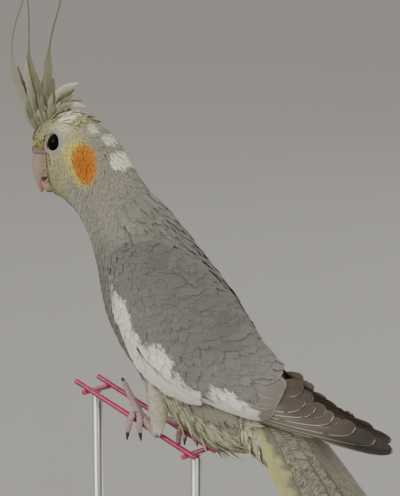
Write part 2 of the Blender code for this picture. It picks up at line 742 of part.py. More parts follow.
def make_leg(side, feather, skin, horn, home):
    """Feathered shank, then tarsus and toes, then claws."""
    sign = -1 if side == "left" else 1
    heel = Vector(HEEL[side])
    heel.y *= sign
    top = Vector(SHANK_TOP[side])
    top.y *= sign
    shank_end = heel.lerp(top, 0.1)
    points = [top.lerp(shank_end, step / 5) for step in range(6)]
    thigh = tube("thigh_" + side, points, SHANK_RADII, 14, feather, home, TOE_GUIDE)
    foot_x = FOOT_X[side]
    wire = wire_point(side, foot_x)
    pad = wire + Vector((0.0, 0.0, WIRE_RADIUS + FOOT_CLEARANCE + GAP))
    tarsus = tube("foot_" + side, [heel, heel.lerp(pad, 0.5), heel.lerp(pad, 0.93)],
                  TARSUS_RADII, 10, skin, home)
    pieces = [ball("pad_" + side, pad, FOOT_PAD, skin, home, 10, 7)]
    for toe, offsets in TOES[side].items():
        path = [pad + sign * Vector((0.0, 0.1, 0.0)) + Vector(offsets[0]) * 0.12]
        for dx, dy, dz in offsets:
            path.append(pad + Vector((dx, sign * dy, dz)))
        pieces.append(tube("toe_" + side + toe, path, TOE_RADII, 7, skin, home, TOE_GUIDE))
        ahead = (path[-1] - path[-2]).normalized()
        root = path[-1] + ahead * GAP
        bend = (ahead + Vector((0.0, 0.0, -0.7))).normalized()
        tip = root + ahead * CLAW_STEP + bend * CLAW_HOOK
        tube("claw_" + side + toe, [root, root + ahead * CLAW_STEP, tip], CLAW_RADII, 6, horn,
             home, TOE_GUIDE)
    fuse(tarsus, pieces, "MANIFOLD")
    return thigh, tarsus


def main():
    """Build every node."""
    wipe_scene()
    bird = collection("cockatiel")
    cutters = collection("cutters")
    grey = paint("plumage_grey", (0.20, 0.19, 0.165), 0.9)
    face = paint("plumage_face", (0.42, 0.39, 0.27), 0.9)
    horn = paint("bill_horn", (0.36, 0.27, 0.23), 0.45)
    eye = paint("eye_black", (0.01, 0.008, 0.008), 0.08)
    skin = paint("foot_skin", (0.42, 0.31, 0.29), 0.7)
    claw = paint("claw_dark", (0.06, 0.05, 0.05), 0.4)
    pink = paint("wire_pink", (0.55, 0.10, 0.22), 0.35)
    wood = paint("stand_wood", (0.30, 0.20, 0.12), 0.5)
    steel = paint("stand_steel", (0.6, 0.6, 0.6), 0.3, 1.0)

    head = body_loft("head", HEAD_STATIONS, 2, face, bird)
    body_loft("neck", NECK_STATIONS, 3, grey, bird)
    torso = body_loft("torso", TORSO_STATIONS, 2, grey, bird)

    upper = level_loft("bill_upper", BILL_UPPER, 16, horn, bird)
    lower = level_loft("bill_lower", BILL_LOWER, 14, horn, bird)
    cut(lower, grown_copy(upper, GAP, cutters))
    for sign in (-1, 1):
        hole = ball("nostril_cutter", (NOSTRIL[0], sign * NOSTRIL[1], NOSTRIL[2]),
                    NOSTRIL_RADIUS, horn, cutters, 10, 8)
        hole.hide_render = True
        hole.display_type = "WIRE"
        cut(upper, hole)
    cut(head, grown_copy(upper, GAP, cutters))
    cut(head, grown_copy(lower, GAP, cutters))
    for sign, side in ((-1, "left"), (1, "right")):
        centre = (EYE_CENTRE[0], sign * EYE_CENTRE[1], EYE_CENTRE[2])
        ball("eye_" + side, centre, EYE_RADIUS, eye, bird)
        gaze = Vector((-EYE_FORWARD, sign, 0.04)).normalized()
        lid = ring_body("lid_" + side, Vector(centre) + gaze * LID_OUT, gaze, LID_RADIUS,
                        LID_THICKNESS, face, bird)
        fuse(head, [lid])
        socket = ball("socket_cutter_" + side, centre, EYE_RADIUS + GAP, eye, cutters)
        socket.hide_render = True
        socket.display_type = "WIRE"
        cut(head, socket)

    crest, crest_feathers = make_crest(face, bird)
    cut(head, grown_copy(crest, GAP, cutters))
    fuse(crest, crest_feathers)

    thighs = {}
    for side in ("left", "right"):
        thigh, foot = make_leg(side, grey, skin, claw, bird)
        cut(torso, grown_copy(thigh, GAP, cutters))
        cut(foot, grown_copy(thigh, GAP, cutters))
        thighs[side] = thigh
    for side, sign in (("left", -1), ("right", 1)):
        place_on = (sign, WING_SHIFT[side], WING_TURN[side], grey, bird)
        wing = make_wing_core("wing_" + side, *place_on)
        fuse(wing, make_wing_vanes("wing_" + side, *place_on), "MANIFOLD")
        cut(wing, grown_copy(torso, GAP, cutters), "MANIFOLD")
        cut(wing, grown_copy(thighs[side], GAP, cutters), "MANIFOLD")
    tail = make_tail(grey, bird)
    cut(tail, grown_copy(torso, GAP, cutters))

    make_perch(pink, bird)
    make_stand(wood, steel, bird)


main()
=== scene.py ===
"""The looks of a life-size grey cockatiel that grips two lengths of pink wire over its stand.

Sizes are in millimetres until a mesh is made, and colours are given as display values from 0
to 255. The bird faces -X, up is +Z and its left side is at -Y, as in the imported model.
"""
import logging
import math
from dataclasses import dataclass, field
from enum import Enum
from typing import Callable, Sequence

import bmesh
import bpy
import numpy as np
from mathutils import Matrix, Vector


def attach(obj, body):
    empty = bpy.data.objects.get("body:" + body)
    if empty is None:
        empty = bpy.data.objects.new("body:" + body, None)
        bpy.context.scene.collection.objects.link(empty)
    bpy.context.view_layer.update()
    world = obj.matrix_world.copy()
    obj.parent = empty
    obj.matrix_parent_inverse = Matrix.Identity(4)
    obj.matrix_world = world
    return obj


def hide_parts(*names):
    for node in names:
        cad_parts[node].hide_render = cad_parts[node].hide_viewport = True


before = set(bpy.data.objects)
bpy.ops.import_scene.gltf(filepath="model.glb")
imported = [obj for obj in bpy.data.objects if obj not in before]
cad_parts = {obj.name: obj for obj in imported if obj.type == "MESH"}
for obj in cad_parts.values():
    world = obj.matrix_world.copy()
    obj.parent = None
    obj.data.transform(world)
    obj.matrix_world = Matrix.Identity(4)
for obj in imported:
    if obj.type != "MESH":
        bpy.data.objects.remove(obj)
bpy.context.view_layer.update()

LOG = logging.getLogger("cockatiel")
MM = 0.001
LEFT, RIGHT = -1, 1
Colour = tuple[float, float, float]


def linear(colour: Sequence[float]) -> Colour:
    """Turn a display colour into the linear values that shaders use.

    Args:
        colour: red, green and blue from 0 to 255.

    Returns:
        Linear red, green and blue.
    """
    made = []
    for channel in colour:
        share = channel / 255
        made.append(share / 12.92 if share <= 0.04045 else ((share + 0.055) / 1.055) ** 2.4)
    return tuple(made)


def blend_rows(rows: Sequence[Sequence[float]], steps: int) -> np.ndarray:
    """Follow a Catmull-Rom curve through rows of numbers.

    Args:
        rows: the rows that the curve goes through.
        steps: how many steps each span is given.

    Returns:
        The rows on the curve.
    """
    given = [np.array(row, dtype=float) for row in rows]
    last = len(given) - 1
    made = []
    for index in range(last):
        a, b = given[max(index - 1, 0)], given[index]
        c, d = given[index + 1], given[min(index + 2, last)]
        for step in range(steps):
            t = step / steps
            made.append(0.5 * (2 * b + (c - a) * t + (2 * a - 5 * b + 4 * c - d) * t * t
                               + (3 * b - a - 3 * c + d) * t ** 3))
    made.append(given[last])
    return np.array(made)


def unit(vectors: np.ndarray) -> np.ndarray:
    """Scale vectors to length one."""
    return vectors / np.maximum(np.linalg.norm(vectors, axis=-1, keepdims=True), 1e-9)


def smooth(value: np.ndarray, low: float, high: float) -> np.ndarray:
    """Rise smoothly from 0 at low to 1 at high."""
    share = np.clip((value - low) / (high - low), 0.0, 1.0)
    return share * share * (3 - 2 * share)


# Shader maths


class Value:
    """One shader socket that Python's operators work on."""

    def __init__(self, shade: "Shade", socket: bpy.types.NodeSocket) -> None:
        """Keep the socket and the material it belongs to."""
        self.shade = shade
        self.socket = socket

    def _maths(self, operation: str, *values: object) -> "Value":
        """Add one Math node to this material."""
        return self.shade.node("ShaderNodeMath", {"operation": operation}, dict(enumerate(values)))

    def __add__(self, other: object) -> "Value":
        """Add."""
        return self._maths("ADD", self, other)

    __radd__ = __add__

    def __sub__(self, other: object) -> "Value":
        """Subtract."""
        return self._maths("SUBTRACT", self, other)

    def __rsub__(self, other: object) -> "Value":
        """Subtract this from a number."""
        return self._maths("SUBTRACT", other, self)

    def __mul__(self, other: object) -> "Value":
        """Multiply."""
        return self._maths("MULTIPLY", self, other)

    __rmul__ = __mul__

    def __truediv__(self, other: object) -> "Value":
        """Divide."""
        return self._maths("DIVIDE", self, other)

    def __pow__(self, other: object) -> "Value":
        """Raise to a power."""
        return self._maths("POWER", self, other)

    def __abs__(self) -> "Value":
        """The size without the sign."""
        return self._maths("ABSOLUTE", self)

    def sine(self) -> "Value":
        """The sine of this value in radians."""
        return self._maths("SINE", self)

    def between(self, low: float, high: float) -> "Value":
        """Rise smoothly from 0 at low to 1 at high."""
        return self.shade.node(
            "ShaderNodeMapRange", {"interpolation_type": "SMOOTHSTEP"},
            {"Value": self, "From Min": low, "From Max": high})


class Shade:
    """A material under construction."""

    def __init__(self, name: str) -> None:
        """Start a material with a bare Principled shader."""
        self.material = bpy.data.materials.new(name)
        self.material.use_nodes = True
        self.tree = self.material.node_tree
        self.shader = self.tree.nodes["Principled BSDF"]

    def node(self, kind: str, settings: dict[str, object] | None = None,
             sockets: dict[object, object] | None = None, output: object = 0) -> Value:
        """Add a node.

        Args:
            kind: the node's type.
            settings: attributes that are set before the sockets; "stops" fills a colour ramp.
            sockets: values or links by socket name or number.
            output: the name or number of the output that is returned.

        Returns:
            The chosen output.
        """
        made = self.tree.nodes.new(kind)
        for key, setting in (settings or {}).items():
            if key == "stops":
                self._fill_ramp(made.color_ramp, setting)
            else:
                setattr(made, key, setting)
        for key, given in (sockets or {}).items():
            self._feed(made.inputs[key], given)
        return Value(self, made.outputs[output])

    def _fill_ramp(self, ramp: bpy.types.ColorRamp, stops: Sequence[tuple]) -> None:
        """Give a ramp its stops of place and display colour."""
        while len(ramp.elements) < len(stops):
            ramp.elements.new(0.5)
        for element, (place, colour) in zip(ramp.elements, stops):
            element.position = place
            element.color = (*linear(colour), 1.0)

    def _feed(self, socket: bpy.types.NodeSocket, given: object) -> None:
        """Link a value to a socket, or set the socket to it."""
        if isinstance(given, Value):
            self.tree.links.new(given.socket, socket)
        elif isinstance(given, tuple) and len(given) == 3 and socket.type == "RGBA":
            socket.default_value = (*given, 1.0)
        else:
            socket.default_value = given

    def place(self, scale: Sequence[float] = (1.0, 1.0, 1.0)) -> Value:
        """Object coordinates, scaled."""
        here = self.node("ShaderNodeTexCoord", output="Object")
        return self.node("ShaderNodeMapping", {}, {"Vector": here, "Scale": tuple(scale)})

    def map(self, name: str) -> tuple[Value, Value]:
        """The two numbers of a UV map."""
        spot = self.node("ShaderNodeUVMap", {"uv_map": name})
        split = self.node("ShaderNodeSeparateXYZ", {}, {0: spot})
        return split, Value(self, split.socket.node.outputs[1])

    def attribute(self, name: str) -> Value:
        """A colour attribute of the mesh."""
        return self.node("ShaderNodeAttribute", {"attribute_name": name}, output="Color")

    def noise(self, vector: Value, scale: float, detail: float = 3.0) -> Value:
        """Noise from 0 to 1."""
        return self.node("ShaderNodeTexNoise", {},
                         {"Vector": vector, "Scale": scale, "Detail": detail})

    def mix(self, share: object, first: object, second: object) -> Value:
        """Mix two colours."""
        made = self.tree.nodes.new("ShaderNodeMix")
        made.data_type = "RGBA"
        for socket, given in ((made.inputs[0], share), (made.inputs[6], first),
                              (made.inputs[7], second)):
            self._feed(socket, given)
        return Value(self, made.outputs[2])

    def scaled(self, colour: Value, amount: Value) -> Value:
        """A colour made lighter or darker by a number."""
        return self.node("ShaderNodeVectorMath", {"operation": "SCALE"},
                         {0: colour, "Scale": amount})

    def bump(self, height: Value, distance: float, strength: float = 1.0) -> None:
        """Raise the surface's look by a height from 0 to 1."""
        made = self.node("ShaderNodeBump", {},
                         {"Strength": strength, "Distance": distance, "Height": height})
        self.tree.links.new(made.socket, self.shader.inputs["Normal"])

    def finish(self, **sockets: object) -> bpy.types.Material:
        """Set the shader's sockets by name, with underscores for spaces.

        Args:
            sockets: values or links.

        Returns:
            The finished material.
        """
        for key, given in sockets.items():
            self._feed(self.shader.inputs[key.replace("_", " ")], given)
        return self.material


# Finishes


@dataclass(frozen=True)
class PlumageFinish:
    """Small feathers and the skin under them: the mesh's own tint with fine streaks."""

    name: str
    streaks: float = 900.0
    depth: float = 0.18
    roughness: float = 0.86
    sheen: float = 0.10

    def build(self) -> bpy.types.Material:
        """Make the material."""
        shade = Shade(self.name)
        tint = shade.attribute("tint")
        fine = shade.noise(shade.place(), self.streaks, 4.0)
        broad = shade.noise(shade.place(), self.streaks / 9, 2.0)
        level = 1.0 + (fine - 0.5) * (2 * self.depth) + (broad - 0.5) * self.depth
        shade.bump(fine, 0.0003, 0.5)
        return shade.finish(Base_Color=shade.scaled(tint, level), Roughness=self.roughness,
                            Sheen_Weight=self.sheen, Sheen_Roughness=0.6)


@dataclass(frozen=True)
class VaneFinish:
    """A large feather: barbs slant from a shaft, and the rim is a little paler. The tint's
    fourth number keeps marks or a pale edge away where it is 1."""

    name: str
    barbs: float = 150.0
    rim: float = 0.05
    shaft: float = 0.16
    roughness: float = 0.72
    marks: Colour | None = None
    edge: Colour | None = None

    def build(self) -> bpy.types.Material:
        """Make the material."""
        shade = Shade(self.name)
        tint = shade.attribute("tint")
        across, along = shade.map("Vane")
        off = abs(across - 0.5) * 2.0
        barb = ((along + off * 0.16) * self.barbs).sine() * 0.5 + 0.5
        patch = shade.noise(shade.place(), 260.0, 3.0)
        broad = shade.noise(shade.place(), 75.0, 2.0)
        plain = shade.node("ShaderNodeAttribute", {"attribute_name": "tint"}, output="Alpha")
        if self.marks:
            drift = shade.noise(shade.place(), 60.0, 2.0)
            bars = shade.node("ShaderNodeCombineXYZ", {}, {
                "X": across * 5.0 + drift * 12.0, "Y": along * 110.0 + drift * 32.0})
            share = shade.noise(bars, 1.0, 6.0).between(0.38, 0.62) * (1.0 - plain)
            tint = shade.mix(share, tint, linear(self.marks))
        if self.edge:
            share = (off.between(0.84, 0.93) + along.between(0.988, 0.995)).between(0.0, 1.0)
            tint = shade.mix(share * (1.0 - plain), tint, linear(self.edge))
        rim = off.between(0.80, 1.0) * self.rim
        spine = (1.0 - off.between(0.02, 0.075)) * (1.0 - along.between(0.80, 1.0))
        level = (0.94 + barb * 0.05 + (patch - 0.5) * 0.20 + (broad - 0.5) * 0.30 + rim) * (
            1.0 - spine * self.shaft)
        shade.bump(barb * 0.35 + spine, 0.0002, 0.5)
        return shade.finish(Base_Color=shade.scaled(tint, level), Roughness=self.roughness,
                            Sheen_Weight=0.08, Sheen_Roughness=0.5)


@dataclass(frozen=True)
class HornFinish:
    """Bill and claws: tinted horn with faint growth lines."""

    name: str
    lines: float = 620.0
    roughness: float = 0.42
    coat: float = 0.15

    def build(self) -> bpy.types.Material:
        """Make the material."""
        shade = Shade(self.name)
        tint = shade.attribute("tint")
        grain = shade.noise(shade.place((1.0, 1.0, 3.2)), self.lines, 4.0)
        cloud = shade.noise(shade.place(), 140.0, 2.0)
        level = 0.9 + grain * 0.14 + (cloud - 0.5) * 0.18
        shade.bump(grain, 0.00012, 0.5)
        return shade.finish(Base_Color=shade.scaled(tint, level),
                            Roughness=(1.0 - grain * 0.25) * self.roughness,
                            Coat_Weight=self.coat, Subsurface_Weight=0.08,
                            Subsurface_Radius=(0.003, 0.0015, 0.001))


@dataclass(frozen=True)
class SkinFinish:
    """Bare skin: lids, cere and feet, wrinkled by cells of one size, with painted shade in the
    creases between them.
    """

    name: str
    cells: float = 900.0
    relief: float = 0.00025
    roughness: float = 0.62

    def build(self) -> bpy.types.Material:
        """Make the material."""
        shade = Shade(self.name)
        tint = shade.attribute("tint")
        cell = shade.node("ShaderNodeTexVoronoi", {"feature": "DISTANCE_TO_EDGE"},
                          {"Vector": shade.place(), "Scale": self.cells})
        crease_shade = cell.between(0.0, 0.22)
        cloud = shade.noise(shade.place(), 300.0, 3.0)
        # The colour darkens towards the cells' edges: painted shade in the creases.
        level = 0.78 + crease_shade * 0.2 + (cloud - 0.5) * 0.22
        shade.bump(crease_shade, self.relief, 0.8)
        return shade.finish(Base_Color=shade.scaled(tint, level), Roughness=self.roughness,
                            Subsurface_Weight=0.12, Subsurface_Radius=(0.003, 0.0015, 0.001))


@dataclass(frozen=True)
class EyeFinish:
    """A wet eye, so dark that the brown iris hardly parts from the pupil."""

    name: str = "eye_wet"
    iris: Colour = (14, 8, 6)
    pupil: Colour = (2, 1, 1)

    def build(self) -> bpy.types.Material:
        """Make the material."""
        shade = Shade(self.name)
        ring = shade.noise(shade.place(), 500.0, 2.0)
        colour = shade.mix(ring.between(0.35, 0.7), linear(self.pupil), linear(self.iris))
        return shade.finish(Base_Color=colour, Roughness=0.05, Specular_IOR_Level=0.06)


@dataclass(frozen=True)
class WireFinish:
    """Steel wire in a glossy pink coat."""

    name: str = "wire_coat"
    colour: Colour = (180, 50, 94)
    worn: Colour = (146, 36, 76)

    def build(self) -> bpy.types.Material:
        """Make the material."""
        shade = Shade(self.name)
        cloud = shade.noise(shade.place(), 220.0, 3.0)
        speck = shade.noise(shade.place(), 1500.0, 2.0)
        colour = shade.mix(cloud.between(0.4, 0.75), linear(self.colour), linear(self.worn))
        shade.bump(cloud, 0.0002, 0.4)
        return shade.finish(Base_Color=colour, Roughness=0.24 + speck * 0.14, Coat_Weight=0.5,
                            Coat_Roughness=0.1)


@dataclass(frozen=True)
class WoodFinish:
    """Oiled walnut for the stand's base."""

    name: str = "base_walnut"
    pale: Colour = (134, 96, 64)
    dark: Colour = (84, 56, 37)

    def build(self) -> bpy.types.Material:
        """Make the material."""
        shade = Shade(self.name)
        here = shade.place((1.0, 9.0, 9.0))
        drift = shade.noise(here, 16.0, 3.0)
        rings = (shade.noise(here, 9.0, 2.0) * 42.0 + drift * 6.0).sine() * 0.5 + 0.5
        pores = shade.noise(shade.place((14.0, 320.0, 320.0)), 5.0, 3.0)
        colour = shade.mix(rings * 0.7 + drift * 0.3, linear(self.pale), linear(self.dark))
        level = 0.82 + pores.between(0.3, 0.6) * 0.2
        shade.bump(pores, 0.0002, 0.35)
        return shade.finish(Base_Color=shade.scaled(colour, level),
                            Roughness=0.36 + pores * 0.2, Coat_Weight=0.12,
                            Coat_Roughness=0.3)


@dataclass(frozen=True)
class SteelFinish:
    """Brushed steel for the stand's rods."""

    name: str = "rod_steel"
    colour: Colour = (188, 188, 186)

    def build(self) -> bpy.types.Material:
        """Make the material."""
        shade = Shade(self.name)
        brushed = shade.noise(shade.place((1.0, 1.0, 60.0)), 60.0, 3.0)
        cloud = shade.noise(shade.place(), 80.0, 2.0)
        shade.bump(brushed, 0.00005, 0.4)
        return shade.finish(Base_Color=linear(self.colour), Metallic=1.0,
                            Roughness=0.24 + brushed * 0.12 + cloud * 0.06)


@dataclass(frozen=True)
class FloorFinish:
    """A plain pale floor."""

    name: str = "floor_pale"
    colour: Colour = (170, 168, 163)

    def build(self) -> bpy.types.Material:
        """Make the material."""
        shade = Shade(self.name)
        grain = shade.noise(shade.place(), 40.0, 3.0)
        level = 0.98 + (grain - 0.5) * 0.04
        plain = shade.mix(0.0, linear(self.colour), linear(self.colour))
        return shade.finish(Base_Color=shade.scaled(plain, level), Roughness=0.9)


# Forms: the surfaces that feathers lie on


class Form:
    """A surface with a chart of two numbers, along it and round it."""

    outward = 1.0
    reach = 1e-2

    def point(self, chart: np.ndarray) -> np.ndarray:
        """Places in millimetres for chart places."""
        raise NotImplementedError

    def unwrap(self, chart: np.ndarray) -> np.ndarray:
        """Where chart places are on a flat unwrap, both numbers from 0 to 1."""
        raise NotImplementedError

    def slopes(self, chart: np.ndarray) -> tuple[np.ndarray, np.ndarray]:
        """How the place moves with each of the chart's numbers."""
        first = np.array([self.reach, 0.0])
        second = np.array([0.0, self.reach])
        return ((self.point(chart + first) - self.point(chart - first)) / (2 * self.reach),
                (self.point(chart + second) - self.point(chart - second)) / (2 * self.reach))

    def at(self, chart: np.ndarray) -> tuple[np.ndarray, np.ndarray]:
        """Places and outward normals for chart places."""
        along, across = self.slopes(chart)
        return self.point(chart), unit(np.cross(along, across)) * self.outward

    def steps(self, chart: np.ndarray) -> np.ndarray:
        """Chart units for each millimetre along both of the chart's numbers."""
        along, across = self.slopes(chart)
        return np.stack([1 / np.maximum(np.linalg.norm(along, axis=-1), 1e-3),
                         1 / np.maximum(np.linalg.norm(across, axis=-1), 1e-3)], axis=-1)


# Body stations from the face to the root of the tail: the dorsal point (x, z), the ventral
# point (x, z) and the half width of the section through them.
BODY_STATIONS = [
    (-63.9, 224.4, -62.8, 219.8, 2.2),
    (-60.6, 229.2, -58.6, 206.5, 8.0),
    (-55.5, 232.8, -54.8, 200.8, 10.6),
    (-49.0, 235.8, -51.0, 198.0, 12.0),
    (-42.0, 236.2, -46.8, 196.6, 13.0),
    (-33.8, 234.0, -42.8, 194.2, 13.8),
    (-25.5, 228.8, -39.4, 191.8, 14.4),
    (-17.8, 220.2, -36.5, 189.2, 15.0),
    (-10.2, 208.6, -32.2, 183.8, 16.8),
    (-3.8, 200.6, -27.8, 176.6, 19.4),
    (4.6, 192.4, -24.2, 166.8, 21.8),
    (14.7, 182.0, -22.6, 156.8, 23.4),
    (25.0, 171.6, -20.0, 145.6, 24.2),
    (34.5, 161.6, -13.6, 133.2, 24.4),
    (43.0, 150.8, -4.0, 121.2, 24.0),
    (49.8, 139.8, 7.4, 108.6, 22.8),
    (55.0, 129.6, 20.6, 98.0, 20.4),
    (59.4, 120.4, 34.0, 91.8, 17.2),
    (63.6, 112.4, 46.0, 91.8, 13.0),
    (65.8, 107.8, 54.6, 96.6, 7.0),
]


class BodyForm(Form):
    """Head, neck and torso as one form. Its chart is the station's number and the angle in
    radians round it, 0 on the back and growing towards the right side."""

    fine = 12

    def __init__(self) -> None:
        """Work out the finely spaced sections."""
        self.rows = blend_rows(BODY_STATIONS, self.fine)
        self.last = len(BODY_STATIONS) - 1

    def point(self, chart: np.ndarray) -> np.ndarray:
        """Places in millimetres for chart places."""
        station = np.clip(chart[..., 0], 0.0, self.last) * self.fine
        index = np.arange(len(self.rows))
        xd, zd, xv, zv, wide = (np.interp(station, index, self.rows[:, k]) for k in range(5))
        turn = chart[..., 1]
        x = (xd + xv) / 2 + (xd - xv) / 2 * np.cos(turn)
        z = (zd + zv) / 2 + (zd - zv) / 2 * np.cos(turn)
        y = wide * np.sin(turn)
        bare = self.bare(x, z)
        return np.stack([x, y * (1 - bare) + np.clip(y, -4.0, 4.0) * bare, z], axis=-1)

    def bare(self, x: np.ndarray, z: np.ndarray) -> np.ndarray:
        """How far the form draws in behind the bill at places in the side view."""
        return smooth(-x, 48.5, 55.5) * smooth(225.2 - z, 0.0, 6.2)

    def unwrap(self, chart: np.ndarray) -> np.ndarray:
        """Where chart places are on a flat unwrap, both numbers from 0 to 1."""
        return np.stack([0.02 + 0.96 * chart[..., 0] / self.last,
                         0.5 + 0.96 * chart[..., 1] / (2 * math.pi)], axis=-1)


WING_BEND = (-9.0, 175.0)
WING_FALL = math.radians(28.3)
WING_ROWS = [
    (-3.0, -3.0, 3.0, 19.0, 19.6, 19.0),
    (3.0, -6.5, 13.0, 22.0, 25.4, 19.4),
    (13.0, -18.0, 17.5, 24.2, 28.0, 13.6),
    (22.0, -25.6, 16.0, 25.6, 28.6, 9.6),
    (31.0, -31.2, 14.5, 26.2, 28.6, 7.0),
    (43.0, -35.5, 11.5, 26.4, 28.4, 5.4),
    (58.0, -33.7, 7.0, 25.4, 27.0, 4.8),
    (70.0, -29.7, 2.4, 23.0, 24.8, 5.0),
    (85.8, -25.9, -3.0, 19.0, 21.4, 7.8),
    (95.3, -24.1, -6.0, 16.8, 18.8, 9.8),
    (104.0, -21.1, -6.0, 15.4, 16.8, 10.4),
    (112.5, -17.8, -4.6, 14.0, 15.0, 10.0),
    (120.5, -13.7, -3.4, 12.8, 13.4, 9.4),
    (128.1, -10.2, -2.6, 11.6, 12.0, 9.0),
    (136.1, -6.6, -1.6, 10.4, 10.8, 8.8),
    (142.3, -4.4, -0.4, 9.6, 9.8, 8.6),
    (147.6, -0.6, 0.8, 8.6, 8.6, 8.4),
]


class WingForm(Form):
    """A folded wing's outer surface. Its chart is the distance from the bend along the wing
    and the distance across it towards the back, both in millimetres."""

    reach = 1.5

    def __init__(self, side: int, shift: float = 0.0, turn: float = 0.0,
                 drop: float = 0.0) -> None:
        """Place the wing on one side of the bird."""
        self.rows = blend_rows(WING_ROWS, 8)
        self.side = side
        self.shift = shift
        self.drop = drop
        self.fall = WING_FALL + turn
        self.outward = -side * 1.0

    def edges(self, along: np.ndarray) -> tuple[np.ndarray, np.ndarray]:
        """The wing's lower and upper edge at distances along it."""
        return (np.interp(along, self.rows[:, 0], self.rows[:, 1]),
                np.interp(along, self.rows[:, 0], self.rows[:, 2]))

    def height(self, chart: np.ndarray) -> np.ndarray:
        """How far the surface stands from the bird's middle plane."""
        along = chart[..., 0]
        low, high, y_low, y_mid, y_high = (
            np.interp(along, self.rows[:, 0], self.rows[:, k]) for k in range(1, 6))
        share = np.clip((chart[..., 1] - low) / (high - low), -0.12, 1.12)
        return (y_low + (y_high - y_low) * share
                + (y_mid - (y_low + y_high) / 2) * 4 * share * (1 - share))

    def point(self, chart: np.ndarray) -> np.ndarray:
        """Places in millimetres for chart places."""
        over = chart[..., 1] - self.edges(chart[..., 0])[1] + 1.5
        held = chart[..., 1] - np.maximum(over, 0) + 1.5 * np.tanh(np.maximum(over, 0) / 1.5)
        fore = 1 - smooth(chart[..., 0], 84.0, 94.0)
        along = chart[..., 0] + self.shift
        across = chart[..., 1] * (1 - fore) + held * fore - self.lowered(chart[..., 0])
        y = self.side * np.maximum(self.height(chart), 0.7)
        return np.stack([
            WING_BEND[0] + along * math.cos(self.fall) + across * math.sin(self.fall), y,
            WING_BEND[1] - along * math.sin(self.fall) + across * math.cos(self.fall)], axis=-1)

    def unwrap(self, chart: np.ndarray) -> np.ndarray:
        """Where chart places are on a flat unwrap, both numbers from 0 to 1."""
        return np.stack([(chart[..., 0] + 14) / 176, (chart[..., 1] + 48) / 80], axis=-1)

    def steps(self, chart: np.ndarray) -> np.ndarray:
        """The chart is in millimetres already."""
        return np.ones(chart.shape)

    def chart(self, points: np.ndarray) -> np.ndarray:
        """Chart places for places in millimetres."""
        x = points[..., 0] - WING_BEND[0]
        z = points[..., 2] - WING_BEND[1]
        along = x * math.cos(self.fall) - z * math.sin(self.fall) - self.shift
        across = x * math.sin(self.fall) + z * math.cos(self.fall)
        return np.stack([along, across + self.lowered(along)], axis=-1)

    def lowered(self, along: np.ndarray) -> np.ndarray:
        """How far the wing is lowered at distances along it."""
        return self.drop * (1 - 0.55 * smooth(along, 40.0, 90.0))

    def under(self, points: np.ndarray, margin: float) -> np.ndarray:
        """Which places on the body lie under this wing, at least margin inside its edge."""
        along, across = np.moveaxis(self.chart(points), -1, 0)
        low, high = self.edges(along)
        return ((points[..., 1] * self.side > 0) & (along > margin) & (along < 100)
                & (across > low + margin) & (across < high - margin))


TAIL_ROOT = (48.0, 122.0)
TAIL_FALL = math.radians(47.5)
TAIL_ARCH = 0.0176
TAIL_RIDGE = 12.0


class TailForm(Form):
    """The tail's arched fan, which rises to a ridge past the rump. Its chart is the distance
    along its middle line and across it."""

    reach = 0.5

    def point(self, chart: np.ndarray) -> np.ndarray:
        """Places in millimetres for chart places."""
        along, across = chart[..., 0], chart[..., 1]
        ridge = TAIL_RIDGE * smooth(along, 2.0, 36.0)
        height = ridge * np.clip(1 - (across / 20) ** 2, 0, 1) - TAIL_ARCH * across ** 2
        return np.stack([
            TAIL_ROOT[0] + along * math.cos(TAIL_FALL) + height * math.sin(TAIL_FALL), across,
            TAIL_ROOT[1] - along * math.sin(TAIL_FALL) + height * math.cos(TAIL_FALL)], axis=-1)

    def unwrap(self, chart: np.ndarray) -> np.ndarray:
        """Where chart places are on a flat unwrap, both numbers from 0 to 1."""
        return np.stack([chart[..., 0] / 160, 0.5 + chart[..., 1] / 70], axis=-1)

    def steps(self, chart: np.ndarray) -> np.ndarray:
        """The chart is in millimetres already."""
        return np.ones(chart.shape)


class RumpForm(Form):
    """The feathered rump between the body and the tail. Its chart is the distance along the
    tail's middle line and the angle round it, 0 on top."""

    reach = 0.02
    stations = [(2.0, 11.0, 8.0, 4.6), (14.0, 14.0, 9.0, 5.4), (26.0, 15.0, 7.4, 4.4),
                (38.0, 14.0, 4.0, 3.0), (48.0, 11.6, 1.2, 2.2)]

    def __init__(self) -> None:
        """Work out the finely spaced sections."""
        self.rows = blend_rows(self.stations, 8)

    def point(self, chart: np.ndarray) -> np.ndarray:
        """Places in millimetres for chart places."""
        along = np.clip(chart[..., 0], self.rows[0, 0], self.rows[-1, 0] + 20)
        wide, thick, drop = (np.interp(along, self.rows[:, 0], self.rows[:, k])
                             for k in (1, 2, 3))
        across = wide * np.sin(chart[..., 1])
        height = thick * np.cos(chart[..., 1]) - drop
        return np.stack([
            TAIL_ROOT[0] + along * math.cos(TAIL_FALL) + height * math.sin(TAIL_FALL), across,
            TAIL_ROOT[1] - along * math.sin(TAIL_FALL) + height * math.cos(TAIL_FALL)], axis=-1)

    def unwrap(self, chart: np.ndarray) -> np.ndarray:
        """Where chart places are on a flat unwrap, both numbers from 0 to 1."""
        return np.stack([chart[..., 0] / 70, 0.5 + 0.96 * chart[..., 1] / (2 * math.pi)],
                        axis=-1)


